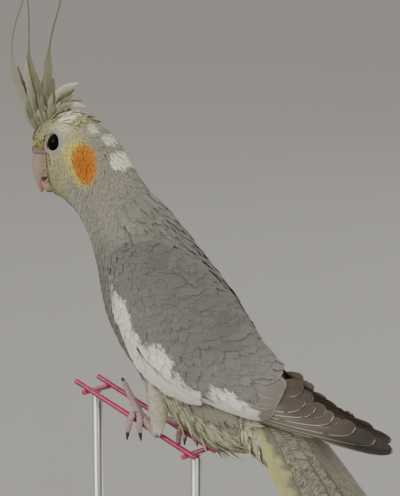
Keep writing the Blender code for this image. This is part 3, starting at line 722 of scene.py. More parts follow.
class PathForm(Form):
    """A tapering round limb along a straight line. Its chart is the distance along it and the
    angle round it."""

    reach = 0.02

    def __init__(self, start: Sequence[float], end: Sequence[float],
                 radii: Sequence[float]) -> None:
        """Keep the line's ends and the radii spaced evenly along it."""
        self.start = np.array(start, dtype=float)
        self.run = np.array(end, dtype=float) - self.start
        self.length = float(np.linalg.norm(self.run))
        self.radii = np.array(radii, dtype=float)
        axis = self.run / self.length
        self.side = unit(np.cross(axis, np.array([1.0, 0.0, 0.0])))
        self.front = np.cross(self.side, axis)

    def point(self, chart: np.ndarray) -> np.ndarray:
        """Places in millimetres for chart places."""
        share = chart[..., 0:1] / self.length
        radius = np.interp(share[..., 0], np.linspace(0, 1, len(self.radii)), self.radii)
        turn = chart[..., 1]
        return (self.start + self.run * share
                + self.front * (radius * np.cos(turn))[..., None]
                + self.side * (radius * np.sin(turn))[..., None])

    def unwrap(self, chart: np.ndarray) -> np.ndarray:
        """Where chart places are on a flat unwrap, both numbers from 0 to 1."""
        return np.stack([0.1 + 0.7 * chart[..., 0] / self.length,
                         0.5 + 0.96 * chart[..., 1] / (2 * math.pi)], axis=-1)


class CurveForm(Form):
    """A strip along a curve in the bird's middle plane, for one crest feather. Its chart is the
    distance along the curve and across the strip."""

    reach = 0.4

    def __init__(self, points: Sequence[Sequence[float]], aside: float, spread: float,
                 skew: float) -> None:
        """Keep the curve, how far it stands off the middle plane and how its strip is turned."""
        curve = blend_rows(points, 8)
        step = np.linalg.norm(np.diff(curve, axis=0), axis=1)
        self.reached = np.concatenate([[0.0], np.cumsum(step)])
        self.curve = curve
        self.length = float(self.reached[-1])
        self.aside = aside
        self.spread = spread
        self.skew = skew

    def point(self, chart: np.ndarray) -> np.ndarray:
        """Places in millimetres for chart places."""
        along, across = chart[..., 0], chart[..., 1]
        over = np.clip(along, 0.0, self.length)
        x = np.interp(over, self.reached, self.curve[:, 0])
        z = np.interp(over, self.reached, self.curve[:, 1])
        ahead = np.clip(along + 1.0, 0.0, self.length)
        behind = np.clip(along - 1.0, 0.0, self.length)
        dx = (np.interp(ahead, self.reached, self.curve[:, 0])
              - np.interp(behind, self.reached, self.curve[:, 0]))
        dz = (np.interp(ahead, self.reached, self.curve[:, 1])
              - np.interp(behind, self.reached, self.curve[:, 1]))
        norm = np.maximum(np.hypot(dx, dz), 1e-6)
        share = along / self.length
        x = x + dx / norm * (along - over)
        z = z + dz / norm * (along - over)
        return np.stack([x - dz / norm * across,
                         self.aside * (0.5 + self.spread * share) + self.skew * across,
                         z + dx / norm * across], axis=-1)

    def unwrap(self, chart: np.ndarray) -> np.ndarray:
        """Where chart places are on a flat unwrap, both numbers from 0 to 1."""
        return np.stack([chart[..., 0] / self.length, 0.5 + chart[..., 1] / 12], axis=-1)


# Feather shapes

BLADE = [(0.0, 0.5), (0.35, 1.0), (0.75, 0.85), (1.0, 0.0)]
THREE_BLADES = [(0.0, 1.0, 0.62), (-0.62, 0.86, 0.5), (0.62, 0.90, 0.5)]
SOFT_BLADES = [(0.0, 1.0, 0.8), (-0.42, 0.93, 0.5), (0.42, 0.95, 0.5)]
FIVE_BLADES = [(0.0, 1.0, 0.30), (-0.45, 0.90, 0.28), (0.5, 0.94, 0.28), (-0.95, 0.74, 0.24),
               (1.0, 0.78, 0.24)]


@dataclass(frozen=True)
class Shape:
    """A feather's own mesh: x across from -1 to 1, y along from 0 to 1, z up in thicknesses."""

    points: np.ndarray
    faces: list[list[int]]
    light: np.ndarray
    side: np.ndarray


def read_shape(shape: bmesh.types.BMesh, gain: float,
               widths: Sequence[tuple[float, float]] = ((0.0, 1.0),),
               outer: float = 1.0) -> Shape:
    """Turn a finished bmesh into a feather shape and free it.

    Args:
        shape: the bmesh.
        gain: how much lighter the tip is than the root.
        widths: shares of the length and the half width there, for the place between the rims.
        outer: how wide the vane on the -1 side is beside the other.

    Returns:
        The feather shape.
    """
    bmesh.ops.recalc_face_normals(shape, faces=shape.faces)
    if shape.calc_volume(signed=True) < 0:
        bmesh.ops.reverse_faces(shape, faces=shape.faces)
    shape.verts.index_update()
    points = np.array([vert.co[:] for vert in shape.verts])
    faces = [[vert.index for vert in face.verts] for face in shape.faces]
    shape.free()
    side = points[:, 0] / np.interp(points[:, 1], *zip(*widths))
    side = np.clip(np.where(side < 0, side / outer, side), -1.0, 1.0)
    return Shape(points, faces, 1 - gain * (1 - points[:, 1]), side)


def small_feather(widths: Sequence[tuple[float, float]] = BLADE, gain: float = 0.10) -> Shape:
    """A small closed feather with a ridge along its middle, cut from a three-sided bar.

    Args:
        widths: shares of the length and the half width there; the last may be 0.
        gain: how much lighter the tip is than the root.

    Returns:
        The feather shape.
    """
    shape = bmesh.new()
    bmesh.ops.create_cone(shape, cap_ends=True, segments=3, radius1=1.0, radius2=1.0, depth=1.0)
    for share, _ in widths[1:-1]:
        bmesh.ops.bisect_plane(shape, geom=shape.verts[:] + shape.edges[:] + shape.faces[:],
                               plane_co=(0, 0, share - 0.5), plane_no=(0, 0, 1))
    shares, halves = zip(*widths)
    for vert in shape.verts:
        share = vert.co.z + 0.5
        half = float(np.interp(share, shares, halves))
        corner = round(math.degrees(math.atan2(vert.co.y, vert.co.x)) % 360 / 120) % 3
        vert.co = Vector(((0.0, -1.0, 1.0)[corner] * half, share,
                          min(1.0, half * 1.6) if corner == 0 else 0.0))
    bmesh.ops.remove_doubles(shape, verts=shape.verts, dist=1e-4)
    return read_shape(shape, gain)


def fanned(blade: Shape, blades: Sequence[tuple[float, float, float]]) -> Shape:
    """Join leaning copies of a blade into one feather with a frayed tip.

    Args:
        blade: the single blade.
        blades: how far each copy leans aside, and its shares of length and width.

    Returns:
        The feather shape.
    """
    points, faces = [], []
    for index, (lean, long, wide) in enumerate(blades):
        own = blade.points * (wide, long, 1.0)
        own[:, 0] += lean * (0.25 + 0.75 * own[:, 1])
        own[:, 2] -= abs(lean) * 0.6
        points.append(own)
        faces += [[corner + len(own) * index for corner in face] for face in blade.faces]
    return Shape(np.concatenate(points), faces, np.tile(blade.light, len(blades)),
                 np.tile(blade.side, len(blades)))


def large_feather(widths: Sequence[tuple[float, float]], across: int, along: int,
                  outer: float = 1.0, fray: float = 0.0, cuts: int = 0, seed: int = 0) -> Shape:
    """A large feather: a thin slab from a grid, shaped to its outline.

    Args:
        widths: shares of the length and the half width there.
        across: how many strips lie across it.
        along: how many strips lie along it; they are closer near the tip.
        outer: how wide the vane on the -1 side is beside the other.
        fray: how far the rim is frayed, in shares of the half width.
        cuts: how many small splits the vane has.
        seed: the seed for the places of the splits.

    Returns:
        The feather shape.
    """
    shape = bmesh.new()
    bmesh.ops.create_grid(shape, x_segments=across, y_segments=along, size=1.0)
    bmesh.ops.solidify(shape, geom=shape.faces[:], thickness=0.5)
    middle = sum(vert.co.z for vert in shape.verts) / len(shape.verts)
    shares, halves = zip(*widths)
    chance = np.random.default_rng(seed)
    splits = [(round(chance.uniform(0.3, 0.95) * along), chance.choice((-1, 1)),
               chance.uniform(0.10, 0.26)) for _ in range(cuts)]
    for vert in shape.verts:
        side = max(-1.0, min(1.0, vert.co.x))
        row = (max(-1.0, min(1.0, vert.co.y)) + 1) / 2
        share = 1 - (1 - row) ** 1.5
        wave = math.sin(share * 61.0 + side * 5.0 + seed) + math.sin(share * 23.0 - side * 3.0)
        half = float(np.interp(share, shares, halves)) * (1 + fray * wave * abs(side) ** 6)
        for split, flank, deep in splits:
            if side * flank > 0.9 and abs(row * along - split) < 0.5:
                half *= 1 - deep
        vert.co = Vector((side * (outer if side < 0 else 1.0) * half, share,
                          1.0 if vert.co.z > middle else 0.0))
    bmesh.ops.remove_doubles(shape, verts=shape.verts, dist=1e-5)
    return read_shape(shape, 0.04, widths, outer)


# Laying feathers


@dataclass
class Flock:
    """Feathers of one shape on one form. Every array has one row for each feather."""

    form: Form
    shape: Shape
    roots: np.ndarray
    heading: np.ndarray
    length: np.ndarray
    half: np.ndarray
    rise: np.ndarray
    tint: np.ndarray
    bow: np.ndarray | float = 0.0
    tilt: float = 0.0
    thick: float = 0.06
    curl: float = 0.6
    camber: float = 0.0
    cells: bool = False
    tip_tint: np.ndarray | None = None
    paint: Callable[[np.ndarray, np.ndarray, np.ndarray], np.ndarray] | None = None

    def lay(self, first: int = 0, total: int = 1
            ) -> tuple[np.ndarray, np.ndarray, np.ndarray, np.ndarray]:
        """Bend every feather onto the form.

        Args:
            first: how many feathers of the piece come before these.
            total: how many feathers the piece has.

        Returns:
            Places, tints, vane map and bake map, each with one row for a point.
        """
        count, points = len(self.roots), self.shape.points
        x, y, z = points[:, 0], points[:, 1], points[:, 2]
        half = self.half[:, None]
        bow = np.broadcast_to(self.bow, (count,))[:, None]
        along = y * self.length[:, None]
        across = x * half + bow * 4 * y * (1 - y)
        turn = self.heading[:, None]
        steps = self.form.steps(self.roots)[:, None, :]
        chart = self.roots[:, None, :] + np.stack([
            (along * np.cos(turn) - across * np.sin(turn)) * steps[..., 0],
            (along * np.sin(turn) + across * np.cos(turn)) * steps[..., 1]], axis=-1)
        height = (self.rise[:, :1] + (self.rise[:, 1:] - self.rise[:, :1]) * y ** self.curl
                  + self.tilt * x * half + self.camber * (1 - x ** 2) + z * self.thick)
        places, normals = self.form.at(chart)
        places = places + normals * height[..., None]
        tint = self.tint[:, None, :] * self.shape.light[None, :, None]
        if self.tip_tint is not None:
            share = smooth(y, 0.35, 0.95)[None, :, None]
            tint = tint * (1 - share) + self.tip_tint[:, None, :] * share
        if self.paint is not None:
            tint = self.paint(chart, np.broadcast_to(points[None], (count, *points.shape)), tint)
        if tint.shape[-1] == 3:
            tint = np.concatenate([tint, np.ones((*tint.shape[:2], 1))], axis=-1)
        vane = np.broadcast_to(np.stack([self.shape.side * 0.5 + 0.5, y], axis=-1),
                               (count, len(points), 2))
        if self.cells:
            columns = math.ceil(math.sqrt(total))
            cell = np.arange(first, first + count)
            corner = np.stack([cell % columns, cell // columns], axis=-1) / columns
            bake = corner[:, None, :] + (0.04 + 0.92 * np.clip(vane, 0, 1)) / columns
        else:
            bake = self.form.unwrap(self.roots)[:, None, :] + (vane - 0.5) * 0.003
        return (places.reshape(-1, 3), tint.reshape(-1, 4), vane.reshape(-1, 2),
                bake.reshape(-1, 2))


def make_coat(name: str, flocks: Sequence[Flock], material: bpy.types.Material,
              slot: str, nodes: Sequence[str] = ()) -> bpy.types.Object:
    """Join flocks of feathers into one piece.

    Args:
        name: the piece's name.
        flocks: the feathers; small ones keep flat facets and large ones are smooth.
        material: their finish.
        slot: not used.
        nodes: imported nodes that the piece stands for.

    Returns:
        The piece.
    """
    laid, loops, starts = [], [], []
    offset = begun = placed = 0
    total = sum(len(flock.roots) for flock in flocks)
    for flock in flocks:
        laid.append(flock.lay(placed, total))
        count, own = len(flock.roots), len(flock.shape.points)
        placed += count
        corners = np.concatenate([np.array(face) for face in flock.shape.faces])
        sizes = np.array([len(face) for face in flock.shape.faces])
        first = np.concatenate([[0], np.cumsum(sizes)[:-1]])
        loops.append((corners[None] + (np.arange(count) * own)[:, None]).ravel() + offset)
        starts.append((first[None] + (np.arange(count) * len(corners))[:, None]).ravel() + begun)
        offset += count * own
        begun += count * len(corners)
    places, tints, vanes, bakes = (np.concatenate(part) for part in zip(*laid))
    corners = np.concatenate(loops)
    begin = np.concatenate(starts)
    mesh = bpy.data.meshes.new(name)
    mesh.vertices.add(len(places))
    mesh.vertices.foreach_set("co", (places * MM).ravel())
    mesh.loops.add(len(corners))
    mesh.loops.foreach_set("vertex_index", corners.astype(np.int32))
    mesh.polygons.add(len(begin))
    mesh.polygons.foreach_set("loop_start", begin.astype(np.int32))
    mesh.update(calc_edges=True)
    for title, data in (("OFBake", bakes), ("Vane", vanes)):
        mesh.uv_layers.new(name=title).data.foreach_set("uv", data[corners].ravel())
    colour = mesh.color_attributes.new("tint", "FLOAT_COLOR", "POINT")
    colour.data.foreach_set("color", tints.ravel())
    if flocks[0].cells:
        mesh.shade_smooth()
        mesh.set_sharp_from_angle(angle=math.radians(55))
    else:
        mesh.shade_flat()
    return finish_piece(name, mesh, material, nodes)


def finish_piece(name: str, mesh: bpy.types.Mesh, material: bpy.types.Material,
                 nodes: Sequence[str] = ()) -> bpy.types.Object:
    """Make a piece of a mesh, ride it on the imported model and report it.

    Args:
        name: the piece's name.
        mesh: its mesh in metres.
        material: its finish.
        nodes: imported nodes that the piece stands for.

    Returns:
        The piece.
    """
    mesh.validate()
    piece = bpy.data.objects.new(name, mesh)
    bpy.context.scene.collection.objects.link(piece)
    mesh.materials.append(material)
    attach(piece, "root")
    if nodes:
        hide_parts(*nodes)
    count = sum(len(face.vertices) - 2 for face in mesh.polygons)
    LOG.info("%s: %d triangles", name, count)
    return piece


def finish_shape(name: str, shape: bmesh.types.BMesh, tint: Colour,
                 material: bpy.types.Material,
                 nodes: Sequence[str] = ()) -> bpy.types.Object:
    """Make a piece of a bmesh in millimetres and free it.

    Args:
        name: the piece's name.
        shape: the bmesh.
        tint: its display colour.
        material: its finish.
        nodes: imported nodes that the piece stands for.

    Returns:
        The piece.
    """
    bmesh.ops.scale(shape, vec=(MM, MM, MM), verts=shape.verts)
    mesh = bpy.data.meshes.new(name)
    shape.to_mesh(mesh)
    shape.free()
    tint_mesh(mesh, tint)
    mesh.shade_smooth()
    return finish_piece(name, mesh, material, nodes)


def wrap_rings(name: str, rings: np.ndarray, tint: Callable[[np.ndarray], np.ndarray] | Colour,
               material: bpy.types.Material, nodes: Sequence[str] = (),
               closed: bool = True, bake: bool = False) -> bpy.types.Object:
    """Wrap a grid round rings of points, join its seam and close its ends.

    Args:
        name: the piece's name.
        rings: places in millimetres, one row of points for each ring.
        tint: one display colour, or linear colours from places.
        material: the finish.
        nodes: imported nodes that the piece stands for.
        closed: whether holes at both ends are filled.
        bake: whether the unwrap is kept as the bake map.

    Returns:
        The piece.
    """
    count, around = rings.shape[:2]
    shape = bmesh.new()
    bmesh.ops.create_grid(shape, x_segments=around, y_segments=count - 1, size=1.0)
    layer = shape.loops.layers.uv.new("OFBake" if bake else "Wrap")
    for face in shape.faces:
        for loop in face.loops:
            place = loop.vert.co
            loop[layer].uv = (0.02 + 0.96 * (place.y + 1) / 2, 0.02 + 0.96 * (place.x + 1) / 2)
    for vert in shape.verts:
        column = round((vert.co.x + 1) / 2 * around) % around
        row = round((vert.co.y + 1) / 2 * (count - 1))
        vert.co = Vector(rings[row, column]) * MM
    bmesh.ops.remove_doubles(shape, verts=shape.verts, dist=1e-8)
    if closed:
        bmesh.ops.holes_fill(shape, edges=[edge for edge in shape.edges if edge.is_boundary])
    bmesh.ops.recalc_face_normals(shape, faces=shape.faces)
    if closed and shape.calc_volume(signed=True) < 0:
        bmesh.ops.reverse_faces(shape, faces=shape.faces)
    mesh = bpy.data.meshes.new(name)
    shape.to_mesh(mesh)
    shape.free()
    tint_mesh(mesh, tint)
    mesh.shade_smooth()
    return finish_piece(name, mesh, material, nodes)


def tint_mesh(mesh: bpy.types.Mesh,
              tint: Callable[[np.ndarray], np.ndarray] | Colour) -> None:
    """Give a mesh its tint attribute from one display colour or a rule on places."""
    points = np.empty(len(mesh.vertices) * 3)
    mesh.vertices.foreach_get("co", points)
    points = points.reshape(-1, 3) / MM
    if callable(tint):
        shade = tint(points)
    else:
        shade = np.tile(np.array(linear(tint)), (len(points), 1))
    colour = mesh.color_attributes.new("tint", "FLOAT_COLOR", "POINT")
    colour.data.foreach_set("color", np.column_stack([shade, np.ones(len(shade))]).ravel())


def tube_rings(points: np.ndarray, radii: np.ndarray, around: int,
               guide: Sequence[float] = (0.0, 0.0, 1.0), flat: float = 1.0) -> np.ndarray:
    """Rings of points round a path.

    Args:
        points: the path in millimetres.
        radii: the radius at each point.
        around: how many points each ring has.
        guide: a direction that is never along the path.
        flat: how much the rings are pressed across the guide.

    Returns:
        One row of points for each ring.
    """
    ahead = np.gradient(points, axis=0)
    axis = unit(ahead)
    across = unit(np.cross(axis, np.array(guide)))
    over = np.cross(across, axis)
    turn = np.arange(around) * 2 * math.pi / around
    return (points[:, None, :]
            + across[:, None, :] * (radii[:, None] * np.cos(turn))[..., None]
            + over[:, None, :] * (radii[:, None] * flat * np.sin(turn))[..., None])


# Plumage colours


class Tone(Enum):
    """Display colours of the plumage."""

    BODY = (122, 118, 108)
    BACK = (103, 100, 94)
    NECK = (142, 137, 122)
    BREAST = (106, 102, 94)
    THROAT = (176, 173, 156)
    FACE = (170, 164, 124)
    FORE = (168, 162, 120)
    LORE = (184, 178, 108)
    CREAM = (236, 234, 202)
    YELLOW = (200, 190, 92)
    ORANGE = (186, 114, 10)
    RUST = (164, 86, 8)
    EAR = (138, 132, 116)
    WHITE = (226, 223, 210)
    VENT = (146, 140, 120)
    VENT_TIP = (196, 192, 160)
    SHANK = (216, 211, 186)
    WING = (123, 119, 111)
    QUILL = (82, 71, 60)
    WEB = (124, 117, 106)
    RIM = (174, 166, 148)
    TAIL_YELLOW = (166, 161, 110)
    TAIL_GREY = (146, 140, 121)
    TAIL_MARK = (94, 88, 70)
    TAIL_DARK = (60, 52, 43)
    BILL = (166, 147, 128)
    BILL_TIP = (184, 146, 130)
    CERE = (146, 124, 108)
    # The dark colour of the painted shadow in the mouth's gap and under the chin.
    GAPE_SHADOW = (70, 42, 34)
    LOWER_BILL = (190, 142, 132)
    LID = (170, 160, 154)
    FOOT = (190, 166, 160)
    CLAW = (52, 46, 44)

    @property
    def linear(self) -> np.ndarray:
        """The colour in linear values."""
        return np.array(linear(self.value))


@dataclass(frozen=True)
class Spot:
    """A marking: an ellipse in the bird's side view, between two shares of its size soft."""

    tone: Tone
    centre: tuple[float, float]
    size: tuple[float, float]
    turn: float = 0.0
    inner: float = 0.6
    outer: float = 1.2
    strength: float = 1.0

    def share(self, x: np.ndarray, z: np.ndarray) -> np.ndarray:
        """How strong the marking is at places in the side view."""
        turn = math.radians(self.turn)
        dx, dz = x - self.centre[0], z - self.centre[1]
        along = dx * math.cos(turn) + dz * math.sin(turn)
        across = dz * math.cos(turn) - dx * math.sin(turn)
        off = np.hypot(along / self.size[0], across / self.size[1])
        return (1 - smooth(off, self.inner, self.outer)) * self.strength


HEAD_SPOTS = [
    Spot(Tone.EAR, (-22, 220), (13, 12), 0, 0.5, 1.2, 0.8),
    Spot(Tone.CREAM, (-45.2, 235.6), (4.2, 4.4), -8, 0.5, 1.2, 1.0),
    Spot(Tone.CREAM, (-31.5, 231.4), (3.0, 1.2), -35, 0.5, 1.2, 0.7),
    Spot(Tone.CREAM, (-24.5, 227.6), (3.2, 1.2), -42, 0.5, 1.2, 0.7),
    Spot(Tone.FORE, (-58, 226), (8, 8), 0, 0.5, 1.2, 0.9),
    Spot(Tone.LORE, (-53.5, 223.2), (4.5, 3.5), 0, 0.4, 1.2, 0.9),
    Spot(Tone.LORE, (-38.5, 222), (6.5, 3.6), -20, 0.4, 1.2, 0.75),
    Spot(Tone.CREAM, (-46, 229.8), (7, 2.2), 0, 0.4, 1.2, 0.35),
    Spot(Tone.YELLOW, (-32.6, 217.4), (10.8, 7.4), -62, 0.70, 1.15, 0.9),
    Spot(Tone.ORANGE, (-30.4, 217.6), (9.2, 6.0), -64, 0.80, 1.08, 1.0),
    Spot(Tone.RUST, (-29.8, 216.8), (6.4, 4.0), -64, 0.2, 1.2, 0.7),
    Spot(Tone.CREAM, (-17.8, 219.4), (4.2, 2.1), -56, 0.7, 1.15, 0.85),
]


class Plumage:
    """Which colour the bird has at a place on its body."""

    def __init__(self, seed: int = 7) -> None:
        """Start the generator for the small differences between feathers."""
        self.chance = np.random.default_rng(seed)

    def body(self, points: np.ndarray) -> np.ndarray:
        """Linear colours at places on head, neck and torso.

        Args:
            points: places in millimetres.

        Returns:
            One linear colour for each place.
        """
        x, z = points[:, 0], points[:, 2]
        neck = smooth(z, 178.0, 198.0)
        layers = [
            (neck, Tone.NECK),
            (smooth(x + z * 0.95 - 190, -22.0, 8.0) * (1 - smooth(z, 196, 214)), Tone.BACK),
            (smooth(-x - z * 0.1, -2.0, 8.0) * (1 - smooth(z, 168.0, 182.0)), Tone.BREAST),
            (smooth(128.0 - z, 0.0, 20.0), Tone.VENT),
            (smooth(-x - 0.62 * (z - 190), 20.0, 34.0) * smooth(z, 172.0, 190.0), Tone.THROAT),
            (smooth(-x + (z - 214) * 0.25, 33.0, 43.0) * smooth(z, 192.0, 204.0), Tone.FACE)]
        layers += [(spot.share(x, z) * (z > 180), spot.tone) for spot in HEAD_SPOTS]
        colour = np.tile(Tone.BODY.linear, (len(points), 1))
        for share, tone in layers:
            colour = colour * (1 - share[:, None]) + tone.linear * share[:, None]
        return colour

    def vary(self, colours: np.ndarray, amount: float) -> np.ndarray:
        """Make each feather a little lighter or darker than the next."""
        level = 1 + self.chance.normal(0.0, amount, len(colours))
        return colours * np.clip(level, 0.6, 1.4)[:, None]


# Head

EYE_CENTRE = (-45.6, 7.5, 222.6)
EYE_RADIUS = 5.0
EYE_GAZE = (-0.24, 1.0, 0.16)
BILL_UPPER = [
    (220.6, -61.4, -54.5, 3.2),
    (218.4, -63.2, -53.0, 4.8),
    (215.0, -64.4, -52.0, 5.6),
    (211.0, -64.8, -52.0, 5.6),
    (207.4, -64.4, -53.4, 4.9),
    (204.0, -63.4, -56.4, 3.7),
    (201.4, -62.4, -58.4, 2.4),
    (199.4, -61.4, -59.4, 1.3),
    (198.2, -60.8, -60.0, 0.5),
]
BILL_LOWER = [
    (207.6, -60.2, -50.0, 4.4),
    (205.0, -60.6, -50.0, 4.4),
    (202.4, -60.0, -50.6, 3.9),
    (200.2, -58.8, -51.8, 3.0),
    (198.8, -57.4, -53.2, 1.8),
]
CERE_ROWS = [
    (221.8, -60.4, -55.2, 2.2),
    (220.6, -62.4, -53.8, 4.0),
    (219.0, -63.8, -52.8, 5.2),
    (217.8, -64.5, -52.2, 5.8),
    (217.2, -64.6, -52.0, 5.8),
    (216.7, -64.3, -52.2, 5.5),
]
NOSTRIL = (-62.6, 2.3, 217.8)


def eye_axis(side: int) -> tuple[np.ndarray, np.ndarray]:
    """An eye's middle and the way it looks."""
    return (np.array([EYE_CENTRE[0], side * EYE_CENTRE[1], EYE_CENTRE[2]]),
            unit(np.array([EYE_GAZE[0], side * EYE_GAZE[1], EYE_GAZE[2]])))


@dataclass
class Head:
    """Eyes, lids, bill and cere."""

    lid_profile: tuple[tuple[float, float], ...] = (
        (3.98, 2.85), (4.05, 3.25), (4.20, 3.60), (4.45, 3.76), (4.90, 3.74), (5.40, 3.58),
        (5.95, 3.28), (6.50, 2.80), (7.00, 2.10))
    around: int = 72

    def build(self, skin: bpy.types.Material, horn: bpy.types.Material,
              wet: bpy.types.Material) -> None:
        """Make every piece of the head that isn't plumage."""
        for side, name in ((LEFT, "left"), (RIGHT, "right")):
            self.build_eye(side, name, wet)
            self.build_lid(side, name, skin)
            self.build_nostril(side, name, skin)
        self.build_bill(horn, skin)

    def build_eye(self, side: int, name: str, wet: bpy.types.Material) -> None:
        """Make one eyeball with a slightly raised cornea."""
        centre, gaze = eye_axis(side)
        shape = bmesh.new()
        bmesh.ops.create_uvsphere(shape, u_segments=48, v_segments=32, radius=EYE_RADIUS)
        turn = Vector((0, 0, 1)).rotation_difference(Vector(gaze)).to_matrix().to_4x4()
        for vert in shape.verts:
            vert.co *= 0.985 + 0.10 * max(0.0, vert.co.z / EYE_RADIUS - 0.72)
        bmesh.ops.transform(shape, matrix=Matrix.Translation(Vector(centre)) @ turn,
                            verts=shape.verts)
        finish_shape("eyeball_" + name, shape, (6, 4, 4), wet, ["eye_" + name])

    def build_lid(self, side: int, name: str, skin: bpy.types.Material) -> None:
        """Make the bare ring of skin round one eye, creased round the rim."""
        centre, gaze = eye_axis(side)
        across = unit(np.cross(gaze, np.array([0.0, 0.0, 1.0])))
        over = np.cross(across, gaze)
        turn = np.arange(self.around) * 2 * math.pi / self.around
        behind = np.cos(turn) * np.sign(across[0])
        rings = []
        for index, (radius, out) in enumerate(self.lid_profile):
            outer = index / (len(self.lid_profile) - 1)
            swell = 1 + 0.05 * outer * (behind - np.sin(turn) * 0.8)
            ripple = 0.07 * np.sin(turn * 24 + index * 1.7) * (1 - abs(2 * outer - 1))
            rings.append(centre + gaze * (out + ripple)[:, None]
                         + (across * np.cos(turn)[:, None]
                            + over * (np.sin(turn) * 1.05)[:, None]) * (radius * swell)[:, None])

        def tint(points: np.ndarray) -> np.ndarray:
            off = points - centre
            ring = np.linalg.norm(off - (off @ gaze)[:, None] * gaze, axis=1)
            rim = (1 - smooth(ring, 4.0, 4.4))[:, None] * 0.6
            return Tone.LID.linear * (1 - rim) + np.array(linear((120, 100, 104))) * rim

        wrap_rings("lid_" + name, np.array(rings), tint, skin, closed=False)

    def build_nostril(self, side: int, name: str, skin: bpy.types.Material) -> None:
        """Make the swollen rim of one nostril."""
        shape = bmesh.new()
        ring = bmesh.ops.create_circle(shape, segments=10, radius=0.34)["verts"]
        bmesh.ops.translate(shape, verts=ring, vec=(0.95, 0.0, 0.0))
        bmesh.ops.rotate(shape, verts=ring, cent=(0.95, 0, 0),
                         matrix=Matrix.Rotation(math.radians(90), 3, "X"))
        bmesh.ops.spin(shape, geom=shape.verts[:] + shape.edges[:], cent=(0, 0, 0),
                       axis=(0, 0, 1), angle=2 * math.pi, steps=24, use_merge=True)
        bmesh.ops.recalc_face_normals(shape, faces=shape.faces)
        way = Vector((-0.80, side * 0.55, 0.25)).normalized()
        middle = Vector((NOSTRIL[0] - 0.5, side * (NOSTRIL[1] + 0.35), NOSTRIL[2] + 0.9))
        bmesh.ops.transform(shape, matrix=Matrix.Translation(middle) @ way.to_track_quat(
            "Z", "Y").to_matrix().to_4x4(), verts=shape.verts)
        finish_shape("nostril_" + name, shape, (112, 90, 82), skin)

    def section_rings(self, sections: Sequence[Sequence[float]], around: int, steps: int,
                      grow: float = 0.0, ridge: float = 0.0) -> np.ndarray:
        """Level rings for a bill half, with a ridge down its front."""
        turn = np.arange(around) * 2 * math.pi / around
        fore = np.clip(-np.cos(turn), 0, 1)
        rings = []
        for z, front, back, wide in blend_rows(sections, steps):
            reach = (back - front) / 2 + grow
            rings.append(np.stack([
                (front + back) / 2 + (reach + ridge * fore ** 10) * np.cos(turn),
                (wide + grow) * np.sin(turn) * (1 - 0.10 * fore ** 2),
                np.full(around, z)], axis=-1))
        return np.array(rings)

    def build_bill(self, horn: bpy.types.Material, skin: bpy.types.Material) -> None:
        """Make both halves of the bill and the cere over its root."""

        def upper(points: np.ndarray) -> np.ndarray:
            x, z = points[:, 0], points[:, 2]
            tip = (1 - smooth(z, 200.0, 209.0))[:, None]
            # edge darkens the rear lower part beside the gape, painted shade of the mouth's gap,
            # and the very tip a little.
            edge = smooth(x, -58.0, -53.0) * (1 - smooth(z, 205.5, 210.0)) + 0.5 * (
                1 - smooth(z, 198.2, 199.6))
            root = smooth(z, 209.0, 217.0)[:, None] * 0.6
            colour = Tone.BILL.linear * (1 - tip) + Tone.BILL_TIP.linear * tip
            colour = colour * (1 - root) + Tone.CERE.linear * root
            return colour * (1 - 0.55 * np.clip(edge, 0, 1))[:, None]

        def lower(points: np.ndarray) -> np.ndarray:
            x, z = points[:, 0], points[:, 2]
            # Painted shadow: the rear top of the lower bill darkens where the mouth's gap lies, and
            # its underside darkens as chin shadow.
            gape_shadow = smooth(z, 203.0, 205.0) * smooth(x, -60.5, -57.5)
            chin_shadow = 1 - smooth(z, 199.2, 200.2)
            dark = np.clip(gape_shadow + chin_shadow * 0.8, 0, 1)[:, None]
            return Tone.LOWER_BILL.linear * (1 - dark) + Tone.GAPE_SHADOW.linear * dark

        wrap_rings("bill_upper_horn", self.section_rings(BILL_UPPER, 48, 6, 0.0, 0.35), upper,
                   horn, ["bill_upper"])
        wrap_rings("bill_lower_horn", self.section_rings(BILL_LOWER, 40, 6), lower, horn,
                   ["bill_lower"])
        wrap_rings("cere", self.section_rings(CERE_ROWS, 44, 4),
                   lambda p: np.tile(Tone.CERE.linear, (len(p), 1)), skin)


# Plumage of head, neck and torso


@dataclass(frozen=True)
class Stretch:
    """How the small feathers are between two stations of the body. The pairs hold their
    values at its start and its end."""

    start: float
    end: float
    row: tuple[float, float]
    gap: tuple[float, float]
    length: tuple[float, float]
    half: tuple[float, float]
    tip: tuple[float, float]
    blades: Sequence[tuple[float, float, float]]


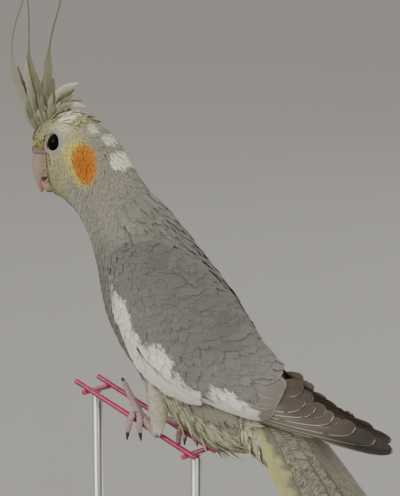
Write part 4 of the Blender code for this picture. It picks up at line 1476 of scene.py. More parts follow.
@dataclass
class BodyCoat:
    """The skin of head, neck and torso and the small feathers that cover it."""

    form: BodyForm
    wings: list[WingForm]
    plumage: Plumage
    depth: float = 1.0
    stretches: dict[str, Stretch] = field(default_factory=lambda: {
        "coat_head": Stretch(0.1, 7.0, (0.50, 0.85), (0.55, 0.85), (2.6, 5.0), (0.38, 0.66),
                             (0.12, 0.25), [(0.0, 1.0, 1.0)]),
        "coat_neck": Stretch(6.9, 10.0, (0.78, 1.05), (0.85, 1.12), (5.2, 7.4), (0.62, 0.95),
                             (0.12, 0.2), THREE_BLADES),
        "coat_torso": Stretch(9.9, 18.9, (1.4, 1.9), (1.5, 2.0), (6.4, 9.5), (1.5, 2.1),
                              (0.2, 0.32), THREE_BLADES),
    })

    def build(self, feathers: bpy.types.Material, skin: bpy.types.Material) -> None:
        """Make the skin and every coat piece."""
        self.build_skin(skin)
        for index, (name, stretch) in enumerate(self.stretches.items()):
            make_coat(name, [self.flock(stretch, 11 + index)], feathers,
                      "plumage_face" if index == 0 else "plumage_grey")
        make_coat("coat_vent", [self.vent_fluff(31), self.wisps(33)], feathers, "plumage_grey")
        make_coat("coat_mantle", [self.tuft(45, (8.6, 15.4), 0.9, (8.0, 12.0), (0.5, 1.8), 1300,
                                            1.5, 0.35), self.seam(49)], feathers, "plumage_grey")
        make_coat("coat_crown", [self.tuft(43, (2.4, 4.8), 0.62, (4.0, 6.5), (0.5, 1.8), 150,
                                           0.7), self.fringe(47)], feathers, "plumage_face")

    def build_skin(self, material: bpy.types.Material) -> None:
        """Make one closed skin inside the feathers."""
        stations = np.linspace(0.0, self.form.last, 150)
        turns = (np.arange(72) / 72 - 0.5) * 2 * math.pi
        chart = np.stack(np.meshgrid(stations, turns, indexing="ij"), axis=-1)
        places, normals = self.form.at(chart)
        wrap_rings("skin_body", places - normals * self.depth,
                   lambda p: self.plumage.body(p) * 0.8, material,
                   ["head", "neck", "torso"], bake=True)

    def spread(self, stretch: Stretch, chance: np.random.Generator
               ) -> tuple[np.ndarray, np.ndarray]:
        """Root places in rows over a stretch of the body.

        Args:
            stretch: the stretch.
            chance: the generator for small shifts.

        Returns:
            Chart places and how far along the stretch each is, from 0 to 1.
        """
        charts, shares = [], []
        station, odd = stretch.start, 0.0
        while station < stretch.end:
            share = (station - stretch.start) / (stretch.end - stretch.start)
            ring = np.stack([np.full(48, station), np.linspace(-math.pi, math.pi, 48)], axis=-1)
            around = np.linalg.norm(np.diff(self.form.point(ring), axis=0), axis=1).sum()
            count = max(6, int(around / np.interp(share, (0, 1), stretch.gap)))
            turn = ((np.arange(count) + odd + chance.normal(0.0, 0.22, count)) / count
                    * 2 * math.pi - math.pi)
            step = np.interp(share, (0, 1), stretch.row) * float(
                np.mean(self.form.steps(ring)[:, 0]))
            charts.append(np.stack([station + chance.normal(0.0, 0.3, count) * step, turn],
                                   axis=-1))
            shares.append(np.full(count, share))
            station += step
            odd = 0.5 - odd
        return np.concatenate(charts), np.concatenate(shares)

    def flock(self, stretch: Stretch, seed: int) -> Flock:
        """Lay small feathers over a stretch of the body."""
        chance = np.random.default_rng(seed)
        chart, share = self.spread(stretch, chance)
        length = np.interp(share, (0, 1), stretch.length) * chance.uniform(0.8, 1.2, len(chart))
        places = self.form.point(chart)
        reach = np.stack([length * self.form.steps(chart)[:, 0], np.zeros(len(chart))], axis=-1)
        keep = self.is_open(places, self.form.point(chart + reach))
        chart, share, length, places = chart[keep], share[keep], length[keep], places[keep]
        count = len(chart)
        return Flock(
            form=self.form, shape=fanned(small_feather(), stretch.blades), roots=chart,
            heading=chance.normal(0.0, 0.12, count) + self.sweep(places, chart),
            length=length, half=np.interp(share, (0, 1), stretch.half),
            rise=np.stack([np.full(count, -self.depth * 0.85),
                           np.interp(share, (0, 1), stretch.tip) * chance.uniform(0, 1.3, count)],
                          axis=-1),
            tint=self.plumage.vary(self.plumage.body(places), 0.05))

    def sweep(self, places: np.ndarray, chart: np.ndarray) -> np.ndarray:
        """How far feathers turn away from straight back, in radians."""
        face = smooth(-places[:, 0], 26.0, 46.0) * smooth(places[:, 2], 194.0, 204.0)
        return face * 0.4 * np.sign(np.sin(chart[:, 1])) * (1 - smooth(places[:, 2], 222, 230))

    def is_open(self, places: np.ndarray, tips: np.ndarray, bare: float = 0.88) -> np.ndarray:
        """Which feathers lie clear of the eyes, the bill and the folded wings."""
        keep = np.ones(len(places), dtype=bool)
        for side in (LEFT, RIGHT):
            centre, gaze = eye_axis(side)
            for spot in (places, tips, (places + tips) / 2):
                off = spot - centre
                out = off @ gaze
                ring = np.linalg.norm(off - out[:, None] * gaze, axis=1)
                keep &= ~((ring < 4.95) & (out > 0))
        keep &= self.form.bare(places[:, 0], places[:, 2]) < bare
        for wing in self.wings:
            keep &= ~wing.under(places, 7.0)
        return keep

    def vent_fluff(self, seed: int) -> Flock:
        """Long soft feathers that hang from the flanks and the vent."""
        chance = np.random.default_rng(seed)
        chart = np.stack([chance.uniform(13.6, 18.9, 2200),
                          math.pi + chance.uniform(-1.35, 1.35, 2200)], axis=-1)
        places = self.form.point(chart)
        keep = np.ones(len(chart), dtype=bool)
        for wing in self.wings:
            keep &= ~wing.under(places, 4.0)
        chart, places = chart[keep], places[keep]
        count = len(chart)
        late = smooth(chart[:, 0], 14.0, 18.5)
        return Flock(form=self.form, shape=fanned(small_feather(), FIVE_BLADES), roots=chart,
                     heading=chance.normal(0.0, 0.2, count),
                     length=chance.uniform(8.0, 11.5, count) + 7 * late,
                     half=chance.uniform(1.1, 1.9, count),
                     rise=np.stack([np.full(count, -0.9), chance.uniform(0.2, 1.4, count)
                                    + 3.4 * late * chance.uniform(0, 1, count) ** 2], axis=-1),
                     tint=self.plumage.vary(self.plumage.body(places), 0.07),
                     tip_tint=np.tile(Tone.VENT_TIP.linear, (count, 1)), curl=1.4)

    def wisps(self, seed: int) -> Flock:
        """Loose pale plumes that stand off the vent."""
        chance = np.random.default_rng(seed)
        count = 150
        chart = np.stack([chance.uniform(15.2, 18.8, count),
                          math.pi + chance.uniform(-1.2, 1.2, count)], axis=-1)
        tint = self.plumage.vary(np.tile(Tone.VENT_TIP.linear * 0.8, (count, 1)), 0.14)
        return Flock(form=self.form, shape=fanned(small_feather(), THREE_BLADES), roots=chart,
                     heading=chance.normal(0.0, 0.3, count),
                     length=chance.uniform(14.0, 23.0, count),
                     half=chance.uniform(0.7, 1.2, count),
                     rise=np.stack([np.full(count, -0.9), chance.uniform(0.8, 6.5, count)],
                                   axis=-1),
                     tint=tint, tip_tint=tint * 1.25, curl=1.8)

    def fringe(self, seed: int) -> Flock:
        """Short feathers of the lores and cheeks that lie over the root of the bill."""
        chance = np.random.default_rng(seed)
        count = 420
        chart = np.stack([chance.uniform(0.8, 3.2, count),
                          chance.choice((-1.0, 1.0), count) * chance.uniform(0.9, 2.4, count)],
                         axis=-1)
        places = self.form.point(chart)
        bare = self.form.bare(places[:, 0], places[:, 2])
        keep = (bare > 0.05) & (bare < 0.6) & self.is_open(places, places, 2.0)
        chart, places = chart[keep], places[keep]
        count = len(chart)
        lean = np.radians(chance.uniform(110.0, 160.0, count)) * np.sign(chart[:, 1])
        return Flock(form=self.form, shape=small_feather(), roots=chart, heading=lean,
                     length=chance.uniform(2.2, 3.8, count), half=np.full(count, 0.3),
                     rise=np.stack([np.full(count, -0.5), chance.uniform(0.6, 2.4, count)],
                                   axis=-1),
                     tint=self.plumage.vary(self.plumage.body(places), 0.06))

    def seam(self, seed: int) -> Flock:
        """Feathers of the back that lie over the upper edges of the folded wings."""
        chance = np.random.default_rng(seed)
        chart = np.stack([chance.uniform(10.8, 16.4, 5200),
                          chance.uniform(-1.7, 1.7, 5200)], axis=-1)
        places = self.form.point(chart)
        keep = np.zeros(len(chart), dtype=bool)
        for wing in self.wings:
            keep |= wing.under(places, 0.4) & ~wing.under(places, 3.4)
        chart, places = chart[keep], places[keep]
        chart, places = chart[:900], places[:900]
        order = np.argsort(-chart[:, 0])
        chart, places = chart[order], places[order]
        count = len(chart)
        return Flock(form=self.form, shape=fanned(small_feather(), SOFT_BLADES), roots=chart,
                     heading=chance.normal(0.0, 0.12, count) + 0.14 * np.sign(chart[:, 1]),
                     length=chance.uniform(9.0, 14.0, count),
                     half=chance.uniform(1.2, 1.9, count),
                     rise=np.stack([np.full(count, -0.4), chance.uniform(1.2, 2.3, count)],
                                   axis=-1),
                     tint=self.plumage.vary(self.plumage.body(places), 0.05), curl=0.35)

    def tuft(self, seed: int, stations: tuple[float, float], spread: float,
             length: tuple[float, float], rise: tuple[float, float], count: int,
             half: float, curl: float = 0.7) -> Flock:
        """Feathers that stand up a little along the crown or the back."""
        chance = np.random.default_rng(seed)
        chart = np.stack([np.sort(chance.uniform(*stations, count))[::-1],
                          chance.uniform(-spread, spread, count)], axis=-1)
        places = self.form.point(chart)
        for wing in self.wings:
            keep = ~wing.under(places, 1.5)
            chart, places = chart[keep], places[keep]
        count = len(chart)
        return Flock(form=self.form, shape=fanned(small_feather(), SOFT_BLADES), roots=chart,
                     heading=chance.normal(0.0, 0.16, count),
                     length=chance.uniform(*length, count),
                     half=half * chance.uniform(0.8, 1.3, count),
                     rise=np.stack([np.full(count, -0.9), chance.uniform(*rise, count)], axis=-1),
                     tint=self.plumage.vary(self.plumage.body(places), 0.05), curl=curl)


# Wings


@dataclass(frozen=True)
class Tier:
    """A row of large wing feathers. Each key holds a root, a tip (both along and across the
    wing) and a half width, and the feathers follow a curve through the keys."""

    name: str
    count: int
    keys: Sequence[Sequence[float]]
    top: float
    step: float
    bow: float = 0.0
    outer: float = 1.0


TIERS = [
    Tier("primary", 6, [(70, -27.0, 148.2, -0.6, 4.6), (70, -25.0, 137.0, -1.6, 4.4),
                        (72, -22.5, 124.6, -3.0, 4.0), (74, -20, 113.0, -5.0, 3.6),
                        (74, -18.5, 106.0, -6.0, 3.4)], -0.1, 0.22, -1.4, 0.9),
    Tier("inner", 4, [(76, -19, 122, -4.2, 3.0), (77, -16, 111, -3.2, 3.2),
                      (78, -13, 101, -2.0, 3.4)], -0.45, 0.12, -0.4),
    Tier("secondary", 8, [(40, -30, 94.0, -19.6, 3.4), (44, -20, 98.0, -15.5, 4.6),
                          (50, -8, 96.5, -9.6, 5.0)], 0.1, 0.10, -1.2),
    Tier("tertial", 4, [(46, -4, 95.5, -8.0, 4.6), (42, 3, 86, -3.0, 5.0),
                        (38, 9, 74, 1.6, 5.0)], 0.45, 0.12, 0.4),
    Tier("white", 17, [(-2, -1, 15, -13.4, 2.2), (7, -9, 27, -22.2, 2.8),
                       (19, -19, 41, -29.6, 3.2), (33, -26.5, 56, -31.2, 3.2),
                       (48, -29, 71, -27.6, 3.0)], 0.30, 0.04, -1.0),
    Tier("greater", 14, [(2, 3, 19, -8.4, 2.6), (10, -4, 30, -17.5, 3.0),
                         (20, -9.5, 42, -21.5, 3.2), (32, -13, 55, -23.5, 3.4),
                         (46, -15, 72, -25.0, 3.6)], 0.46, 0.03, -1.4),
    Tier("cover", 7, [(46, -12, 74, -18.5, 4.0), (50, -6, 79, -13, 4.4),
                      (46, 1, 77, -6.5, 4.6)], 0.58, 0.03, -0.6),
    Tier("median", 12, [(3, 6, 22, -4.5, 2.8), (15, 1.5, 36, -10.5, 3.2),
                        (30, -2, 52, -12.5, 3.6), (38, 4, 60, -4, 4.2)], 0.70, 0.03, -1.0),
    Tier("scapular_low", 8, [(13, 6.5, 33, 3.4, 3.6), (26, 5.5, 48, 0.8, 4.2),
                             (38, 4, 66, -2.4, 4.6)], 0.86, 0.03, -0.4),
    Tier("scapular_high", 9, [(4, 11, 24, 11.0, 3.2), (20, 11, 42, 7.2, 4.0),
                              (36, 8.0, 68, 1.4, 4.8)], 1.0, 0.03, 0.6),
]


@dataclass
class Wing:
    """One folded wing: its skin, its small coverts and its tiers of large feathers."""

    form: WingForm
    name: str
    seed: int
    plumage: Plumage
    root_depth: float = 2.4
    # How much lighter the quill tint is: painted light, set above 1 on the far wing, whose
    # primaries lie in the near wing's shade.
    quill_painted_light: float = 1.0
    flight: tuple[str, ...] = ("primary", "inner", "secondary", "tertial")
    quills: tuple[str, ...] = ("primary", "inner")

    def white(self, chart: np.ndarray) -> np.ndarray:
        """How white the wing is at chart places, from the patches along its lower edge."""
        s, t = chart[..., 0], chart[..., 1]
        upper = np.interp(s, (3, 9, 14, 18, 23, 28, 34, 38, 40, 45, 50, 54, 58, 61, 67, 71),
                          (-3, -7, -8, -8, -11.5, -16, -18.6, -20, -16, -15.5, -17.6, -22, -21,
                           -24, -23.4, -26)) + 0.7 * np.sin(s * 1.7) + 0.5 * np.sin(s * 3.9 + t)
        top = np.interp(s, (71.5, 76, 80, 86, 93, 97), (-17, -16, -16, -16.6, -17.6, -18.6))
        fleck = smooth(np.sin(s * 2.3 + t * 0.7) + np.sin(t * 2.9 - s), -0.2, 0.4)
        band = smooth(upper - t, -0.4, 0.4) * smooth(s, 2.5, 3.5) * smooth(71.3 - s, 0.0, 0.8)
        band = band * np.where(s < 12, fleck, 1.0)
        ragged = top + 0.5 * np.sin(s * 2.9 + t * 0.8)
        return band + smooth(ragged - t, -0.4, 0.4) * smooth(s, 72, 73) * smooth(95 - s, 0, 1.5)

    def tone(self, chart: np.ndarray) -> np.ndarray:
        """The wing's linear colour at chart places, darker towards the back."""
        low, high = self.form.edges(chart[..., 0])
        up = smooth((chart[..., 1] - low) / (high - low), 0.1, 0.95)
        late = smooth(chart[..., 0], 60.0, 85.0)
        pale = self.white(chart)[..., None]
        level = (1 - (0.30 - 0.28 * late) * up)[..., None]
        return Tone.WING.linear * level * (1 - pale) + Tone.WHITE.linear * pale

    def build(self, small: bpy.types.Material, large: bpy.types.Material,
              skin: bpy.types.Material) -> None:
        """Make every piece of the wing."""
        self.build_skin(skin)
        make_coat("vanes_" + self.name,
                  [flock for tier in TIERS for flock in self.tier_flocks(tier)], large,
                  "plumage_grey", ["wing_" + self.name])
        make_coat("coverts_" + self.name, [self.covert_flock()], small, "plumage_grey")

    def build_skin(self, material: bpy.types.Material) -> None:
        """Make the thin fleshy part under the feathers."""
        rings = []
        share = np.linspace(0.06, 0.94, 12)
        for along in np.linspace(-1.0, 92.0, 40):
            low, high = (float(edge) for edge in self.form.edges(np.array(along)))
            chart = np.stack([np.full(12, along), low + (high - low) * share], axis=-1)
            places, normals = self.form.at(chart)
            taper = 1 - 0.6 * max(0.0, along / 92.0) ** 3
            deep = 2.2 + 3.0 * taper * np.sin(share * math.pi)
            rings.append(np.concatenate([places - normals * 1.5,
                                         (places - normals * deep[:, None])[::-1]]))
        wrap_rings("skin_wing_" + self.name, np.array(rings),
                   lambda p: self.tone(self.form.chart(p)) * 0.9, material,
                   bake=True)

    def tier_flocks(self, tier: Tier) -> list[Flock]:
        """Lay the large feathers of one tier, in three shapes by turns."""
        chance = np.random.default_rng(self.seed + len(tier.name))
        curve = blend_rows(tier.keys, 24)
        rows = curve[np.linspace(0, len(curve) - 1, tier.count).round().astype(int)]
        flight = tier.name in self.flight
        count = tier.count
        run = rows[:, 2:4] - rows[:, 0:2]
        length = np.linalg.norm(run, axis=1)
        outline = ([(0.0, 0.5), (0.25, 0.9), (0.6, 1.0), (0.88, 0.92), (0.95, 0.74),
                    (0.985, 0.46), (1.0, 0.14)] if flight else
                   [(0.0, 0.5), (0.4, 1.0), (0.75, 0.95), (0.88, 0.8), (0.95, 0.58),
                    (0.985, 0.34), (1.0, 0.12)])
        level = tier.top - tier.step * (count - 1 - np.arange(count))
        if not flight:
            level = level + chance.normal(0, 0.05, count)
            rows[:, 2:4] += chance.normal(0, (1.6, 0.7), (count, 2))
            run = rows[:, 2:4] - rows[:, 0:2]
            length = np.linalg.norm(run, axis=1)
        shift = chance.normal(0, 0.7, (count, 1, 2))
        # The quill tint is scaled up on the far wing: painted light on its shaded primaries and
        # inner flight feathers.
        base = Tone.QUILL.linear * self.quill_painted_light if tier.name in self.quills else Tone.WING.linear

        def paint(chart: np.ndarray, own: np.ndarray, tint: np.ndarray,
                  shift: np.ndarray) -> np.ndarray:
            """Colour the vanes by their place on the wing and across themselves."""
            side, along = own[..., 0:1], own[..., 1:2]
            if tier.name in self.quills:
                web = smooth(-side, -0.15, 0.1) * (1 - 0.9 * smooth(along, 0.60, 0.85)) * (
                    tier.name == "primary")
                tint = tint * (1 - 0.6 * web) + Tone.WEB.linear * 0.6 * web
                far = smooth(chart[..., 0:1], 116, 136)
                plain = 0.1 + 0.9 * smooth(side, 0.2, 0.5) + 0.5 * far + 0.5 * (
                    tier.name == "inner")
                return np.concatenate([tint * (1 - 0.68 * far), np.clip(plain, 0, 1)], axis=-1)
            pale = self.white(chart + shift)[..., None]
            tint = tint * self.tone(chart + shift) / Tone.WING.linear
            tint = tint * (1 - pale) + Tone.WHITE.linear * pale
            if tier.name in ("secondary", "tertial"):
                brown = smooth(chart[..., 0:1], 84, 97) * 0.45
                tint = tint * (1 - brown) + Tone.QUILL.linear * 1.3 * brown
            plain = np.full(tint.shape[:-1] + (1,), 0.72 if flight else 0.97)
            return np.concatenate([tint, np.maximum(plain, pale)], axis=-1)

        tint = np.tile(base, (count, 1)) * (1 + chance.normal(0, 0.06, count))[:, None]
        flocks = []
        for turn in range(3):
            own = slice(turn, None, 3)
            picked = shift[own]

            def painted(chart: np.ndarray, place: np.ndarray, base_tint: np.ndarray,
                        shift: np.ndarray = picked) -> np.ndarray:
                """Colour this share of the tier."""
                return paint(chart, place, base_tint, shift)

            flocks.append(Flock(
                form=self.form, roots=rows[own, 0:2], length=length[own], half=rows[own, 4],
                shape=large_feather(outline, 10, 26 if flight else 18, tier.outer,
                                    0.01 if flight else 0.04, 2 + turn, 3 * self.seed + turn),
                heading=np.arctan2(run[own, 1], run[own, 0]), bow=tier.bow, tint=tint[own],
                rise=np.stack([level[own] - self.root_depth, level[own]], axis=-1),
                tilt=-0.05, thick=0.07, curl=0.5, camber=0.12, cells=True, paint=painted))
        return flocks

    def covert_flock(self) -> Flock:
        """Lay soft small feathers over the wing, fewer and longer towards its end."""
        chance = np.random.default_rng(self.seed)
        roots = []
        for along in np.arange(-3.0, 74.0, 1.2):
            low, high = (float(edge) for edge in self.form.edges(np.array(along)))
            floor = float(np.interp(along, (-3, 2, 16, 34, 60, 74), (low, low, -14, -17, -19, -17)))
            count = max(2, int((high - 1.0 - floor) / 1.3))
            across = np.linspace(floor, high - 1.0, count) + chance.normal(0, 0.5, count)
            roots.append(np.stack([along + chance.normal(0, 0.8, count), across], axis=-1))
        roots = np.concatenate(roots[::-1])
        keep = 1 - 0.62 * smooth(roots[:, 0], 18, 46)
        roots = roots[chance.uniform(0, 1, len(roots)) < keep]
        count = len(roots)
        low, high = self.form.edges(roots[:, 0])
        share = np.clip((roots[:, 1] - low) / (high - low), 0, 1)
        grown = smooth(roots[:, 0], -3.0, 52.0)
        length = 5.6 + 8.4 * grown + chance.normal(0, 1.0, count)
        heading = np.radians(-48 * (1 - share) ** 1.2 - 6 * share) * (1 - 0.5 * smooth(
            roots[:, 0], 20, 60)) + chance.normal(0, 0.12, count)
        shift = chance.normal(0, 0.5, (count, 1, 2))
        level = self.plumage.vary(np.ones((count, 1)), 0.045)[:, None, :]
        return Flock(
            form=self.form, shape=fanned(small_feather(gain=0.06), SOFT_BLADES), roots=roots,
            heading=heading, length=length, half=1.3 + 1.0 * grown,
            rise=np.stack([np.full(count, -0.9), chance.uniform(0.2, 0.4, count) + 0.75
                           * smooth(grown, 0, 0.8) + 0.12 * share], axis=-1),
            tint=np.ones((count, 3)),
            paint=lambda chart, own, tint: tint * self.tone(chart + shift) * level)


# Tail


@dataclass
class Tail:
    """Twelve tail feathers, the rump and its coverts."""

    form: TailForm
    rump: RumpForm
    feathers: tuple[tuple[float, float, float, float], ...] = (
        (148.0, 1.2, 1.6, 5.6), (130.0, 2.2, 3.4, 6.0), (113.0, 3.2, 5.2, 6.2),
        (99.0, 4.2, 6.8, 6.2), (87.0, 5.2, 8.4, 6.2), (77.0, 6.0, 10.0, 6.0))
    start: float = 12.0
    tilt: float = 0.2

    def build(self, small: bpy.types.Material, marbled: bpy.types.Material,
              skin: bpy.types.Material, plumage: Plumage) -> None:
        """Make every piece of the tail."""
        make_coat("vanes_tail", [self.flock(side) for side in (LEFT, RIGHT)], marbled,
                  "plumage_grey", ["tail"])
        turns = (np.arange(40) / 40 - 0.5) * 2 * math.pi
        chart = np.stack(np.meshgrid(np.linspace(4.0, 27.0, 20), turns, indexing="ij"), axis=-1)
        places = self.rump.point(chart)
        wrap_rings("skin_rump", places + (places.mean(axis=1, keepdims=True) - places) * 0.12,
                   lambda p: np.tile(Tone.BODY.linear * 0.8, (len(p), 1)), skin,
                   bake=True)
        make_coat("coat_rump", [self.rump_flock(plumage)], small, "plumage_grey")
        make_coat("coat_undertail", [self.under_flock(plumage)], small, "plumage_grey")

    def flock(self, side: int) -> Flock:
        """Lay the six feathers of one side."""
        size = np.array(self.feathers)
        length, spread, offset, wide = size.T
        count = len(size)
        outline = [(0.0, 0.4), (0.3, 0.85), (0.66, 1.0), (0.86, 0.8), (0.95, 0.5), (1.0, 0.1)]
        roots = np.stack([np.full(count, self.start),
                          side * (offset + self.start * np.tan(np.radians(spread)))], axis=-1)

        def paint(chart: np.ndarray, own: np.ndarray, tint: np.ndarray) -> np.ndarray:
            """Yellow outer feathers, marbled grey inner ones, dark middle; the fourth number
            is how plain the vane is."""
            order = np.arange(count)[:, None, None]
            outer = own[..., 0:1] * side
            along = chart[..., 0:1]
            tooth = 0.14 * np.sin(along * 0.9) + 0.10 * np.sin(along * 2.9)
            share = np.where(order == 5, smooth(outer + tooth, -0.95, -0.75), np.where(
                order == 4, smooth(outer + tooth, 0.60, 0.80), 0.0))
            share = share * smooth(along, 17.0, 24.0)
            mixed = tint * (1 - share) + Tone.TAIL_YELLOW.linear * share
            dark = np.where(order == 0, 0.35, 0.0)
            dark = np.maximum(dark, 0.4 * (1 - share) * (order == 4))
            dark = np.maximum(dark, 0.85 * smooth(-outer, 0.66, 0.82) * (order < 4))
            dark = np.maximum(dark, 0.85 * smooth(outer, 0.70, 0.85) * (order < 2))
            mixed = mixed * (1 - dark) + Tone.TAIL_DARK.linear * dark
            return np.concatenate([mixed, np.clip(share + dark * 0.8, 0, 1)], axis=-1)

        level = np.full(count, 0.0 if side < 0 else -0.3)
        return Flock(
            form=self.form, shape=large_feather(outline, 10, 48, 1.0, 0.02), roots=roots,
            heading=side * np.radians(spread), length=length - self.start, half=wide,
            rise=np.stack([level, level], axis=-1),
            tint=np.tile(Tone.TAIL_GREY.linear, (count, 1)), tilt=side * self.tilt,
            thick=0.22, camber=0.25, cells=True, paint=paint)

    def rump_flock(self, plumage: Plumage) -> Flock:
        """Lay soft coverts over and under the tail's root."""
        chance = np.random.default_rng(51)
        turn = chance.uniform(-math.pi, math.pi, 2200)
        under = smooth(-np.cos(turn), -0.3, 0.3)
        count = len(turn)
        roots = np.stack([chance.uniform(2.0, 16.0, count) + 12.0 * under
                          * chance.uniform(0, 1, count), turn], axis=-1)
        tint = Tone.BODY.linear * (1 - under[:, None]) + Tone.VENT.linear * under[:, None]
        tip = Tone.BODY.linear * (1 - under[:, None]) + Tone.VENT_TIP.linear * under[:, None]
        return Flock(
            form=self.rump, shape=fanned(small_feather(), FIVE_BLADES), roots=roots,
            heading=chance.normal(0, 0.14, count), length=chance.uniform(9.0, 16.0, count),
            half=chance.uniform(1.4, 2.2, count),
            rise=np.stack([np.full(count, -0.9), chance.uniform(0.1, 0.9, count) + under
                           * chance.uniform(0, 2.4, count) ** 1.5], axis=-1),
            tint=plumage.vary(tint, 0.06), tip_tint=tip, curl=1.2)

    def under_flock(self, plumage: Plumage) -> Flock:
        """Lay long loose pale coverts under the tail's root."""
        chance = np.random.default_rng(53)
        count = 620
        turn = math.pi + chance.uniform(-1.75, 1.75, count)
        tint = plumage.vary(np.tile(Tone.VENT_TIP.linear * 0.72, (count, 1)), 0.14)
        return Flock(
            form=self.rump, shape=fanned(small_feather(), THREE_BLADES),
            roots=np.stack([chance.uniform(4.0, 24.0, count), turn], axis=-1),
            heading=chance.normal(0, 0.2, count), length=chance.uniform(12.0, 21.0, count),
            half=chance.uniform(0.9, 1.6, count),
            rise=np.stack([np.full(count, -0.6), chance.uniform(0.6, 5.0, count)], axis=-1),
            tint=tint, tip_tint=tint * 1.3, curl=1.5)


# Crest


@dataclass(frozen=True)
class Plume:
    """One crest feather: how far it stands aside, its half width, its colour at root and tip,
    whether its upper half is drawn out thin, and the curve it follows in side view."""

    aside: float
    half: float
    tone: Colour
    thin: bool
    points: Sequence[tuple[float, float]]


OLIVE = (132, 128, 102)
PALE_OLIVE = (152, 149, 126)
DARK_OLIVE = (112, 107, 82)
PALE = (206, 204, 178)
PLUMES = [
    Plume(-1.8, 2.0, PALE_OLIVE, True, [
        (-58.0, 229.8), (-63.4, 232.5), (-67.2, 237.8), (-70.4, 244.1), (-72.8, 250.4),
        (-74.6, 257.7), (-74.7, 264.0), (-74.3, 268.6), (-73.0, 273.2), (-70.6, 279.6),
        (-67.7, 286.0)]),
    Plume(2.2, 2.0, OLIVE, False, [
        (-59.0, 229.6), (-64.9, 233.0), (-68.2, 238.3), (-70.9, 244.7), (-73.0, 251.0),
        (-74.0, 255.6)]),
    Plume(-0.6, 1.8, PALE_OLIVE, False, [
        (-58.6, 230.6), (-62.5, 235.2), (-64.6, 241.5), (-66.4, 247.8), (-67.4, 254.2),
        (-67.5, 259.0)]),
    Plume(1.4, 2.1, OLIVE, True, [
        (-58.6, 230.9), (-61.6, 236.0), (-63.7, 242.3), (-65.0, 248.7), (-66.0, 254.1),
        (-67.0, 258.7), (-66.7, 265.5), (-66.6, 272.3), (-66.6, 279.1), (-67.2, 287.9)]),
    Plume(-2.0, 1.8, DARK_OLIVE, False, [
        (-56.4, 231.2), (-57.6, 235.7), (-58.8, 241.1), (-60.0, 246.5), (-61.2, 251.0),
        (-62.4, 255.0)]),
    Plume(0.0, 2.2, OLIVE, True, [
        (-55.3, 232.2), (-56.4, 236.4), (-56.3, 241.9), (-56.2, 247.4), (-55.8, 252.9),
        (-55.6, 258.3), (-55.2, 262.0), (-54.5, 266.0), (-53.3, 271.0), (-51.5, 276.5),
        (-49.2, 282.8), (-48.0, 287.0)]),
    Plume(2.4, 1.8, PALE_OLIVE, False, [
        (-58.0, 231.0), (-59.7, 236.0), (-59.8, 242.4), (-59.4, 247.9), (-58.5, 253.5)]),
    Plume(-2.4, 1.6, DARK_OLIVE, False, [
        (-53.3, 232.4), (-53.0, 236.9), (-52.6, 242.4), (-52.0, 247.4), (-51.2, 251.6)]),
    Plume(-1.2, 1.3, PALE, False, [
        (-54.0, 232.6), (-52.8, 238.1), (-51.3, 243.2), (-48.5, 246.0), (-44.1, 248.3),
        (-38.1, 249.9)]),
    Plume(1.2, 1.5, DARK_OLIVE, False, [
        (-53.6, 233.2), (-52.0, 237.9), (-48.6, 241.5), (-45.3, 244.2), (-41.9, 246.8)]),
    Plume(-2.2, 1.4, OLIVE, False, [
        (-51.9, 233.2), (-49.1, 237.9), (-46.3, 240.8), (-43.5, 242.8), (-40.8, 244.3)]),
    Plume(-0.4, 1.5, PALE, False, [
        (-51.6, 234.0), (-48.1, 237.4), (-44.3, 239.2), (-39.9, 240.1), (-35.6, 239.4)]),
    Plume(2.4, 1.6, PALE, False, [
        (-53.2, 233.0), (-51.8, 238.8), (-49.6, 243.6), (-46.0, 247.2), (-42.4, 249.4)]),
    Plume(2.0, 1.5, OLIVE, False, [
        (-50.4, 234.4), (-46.6, 238.2), (-42.6, 240.6), (-38.6, 242.0)]),
]


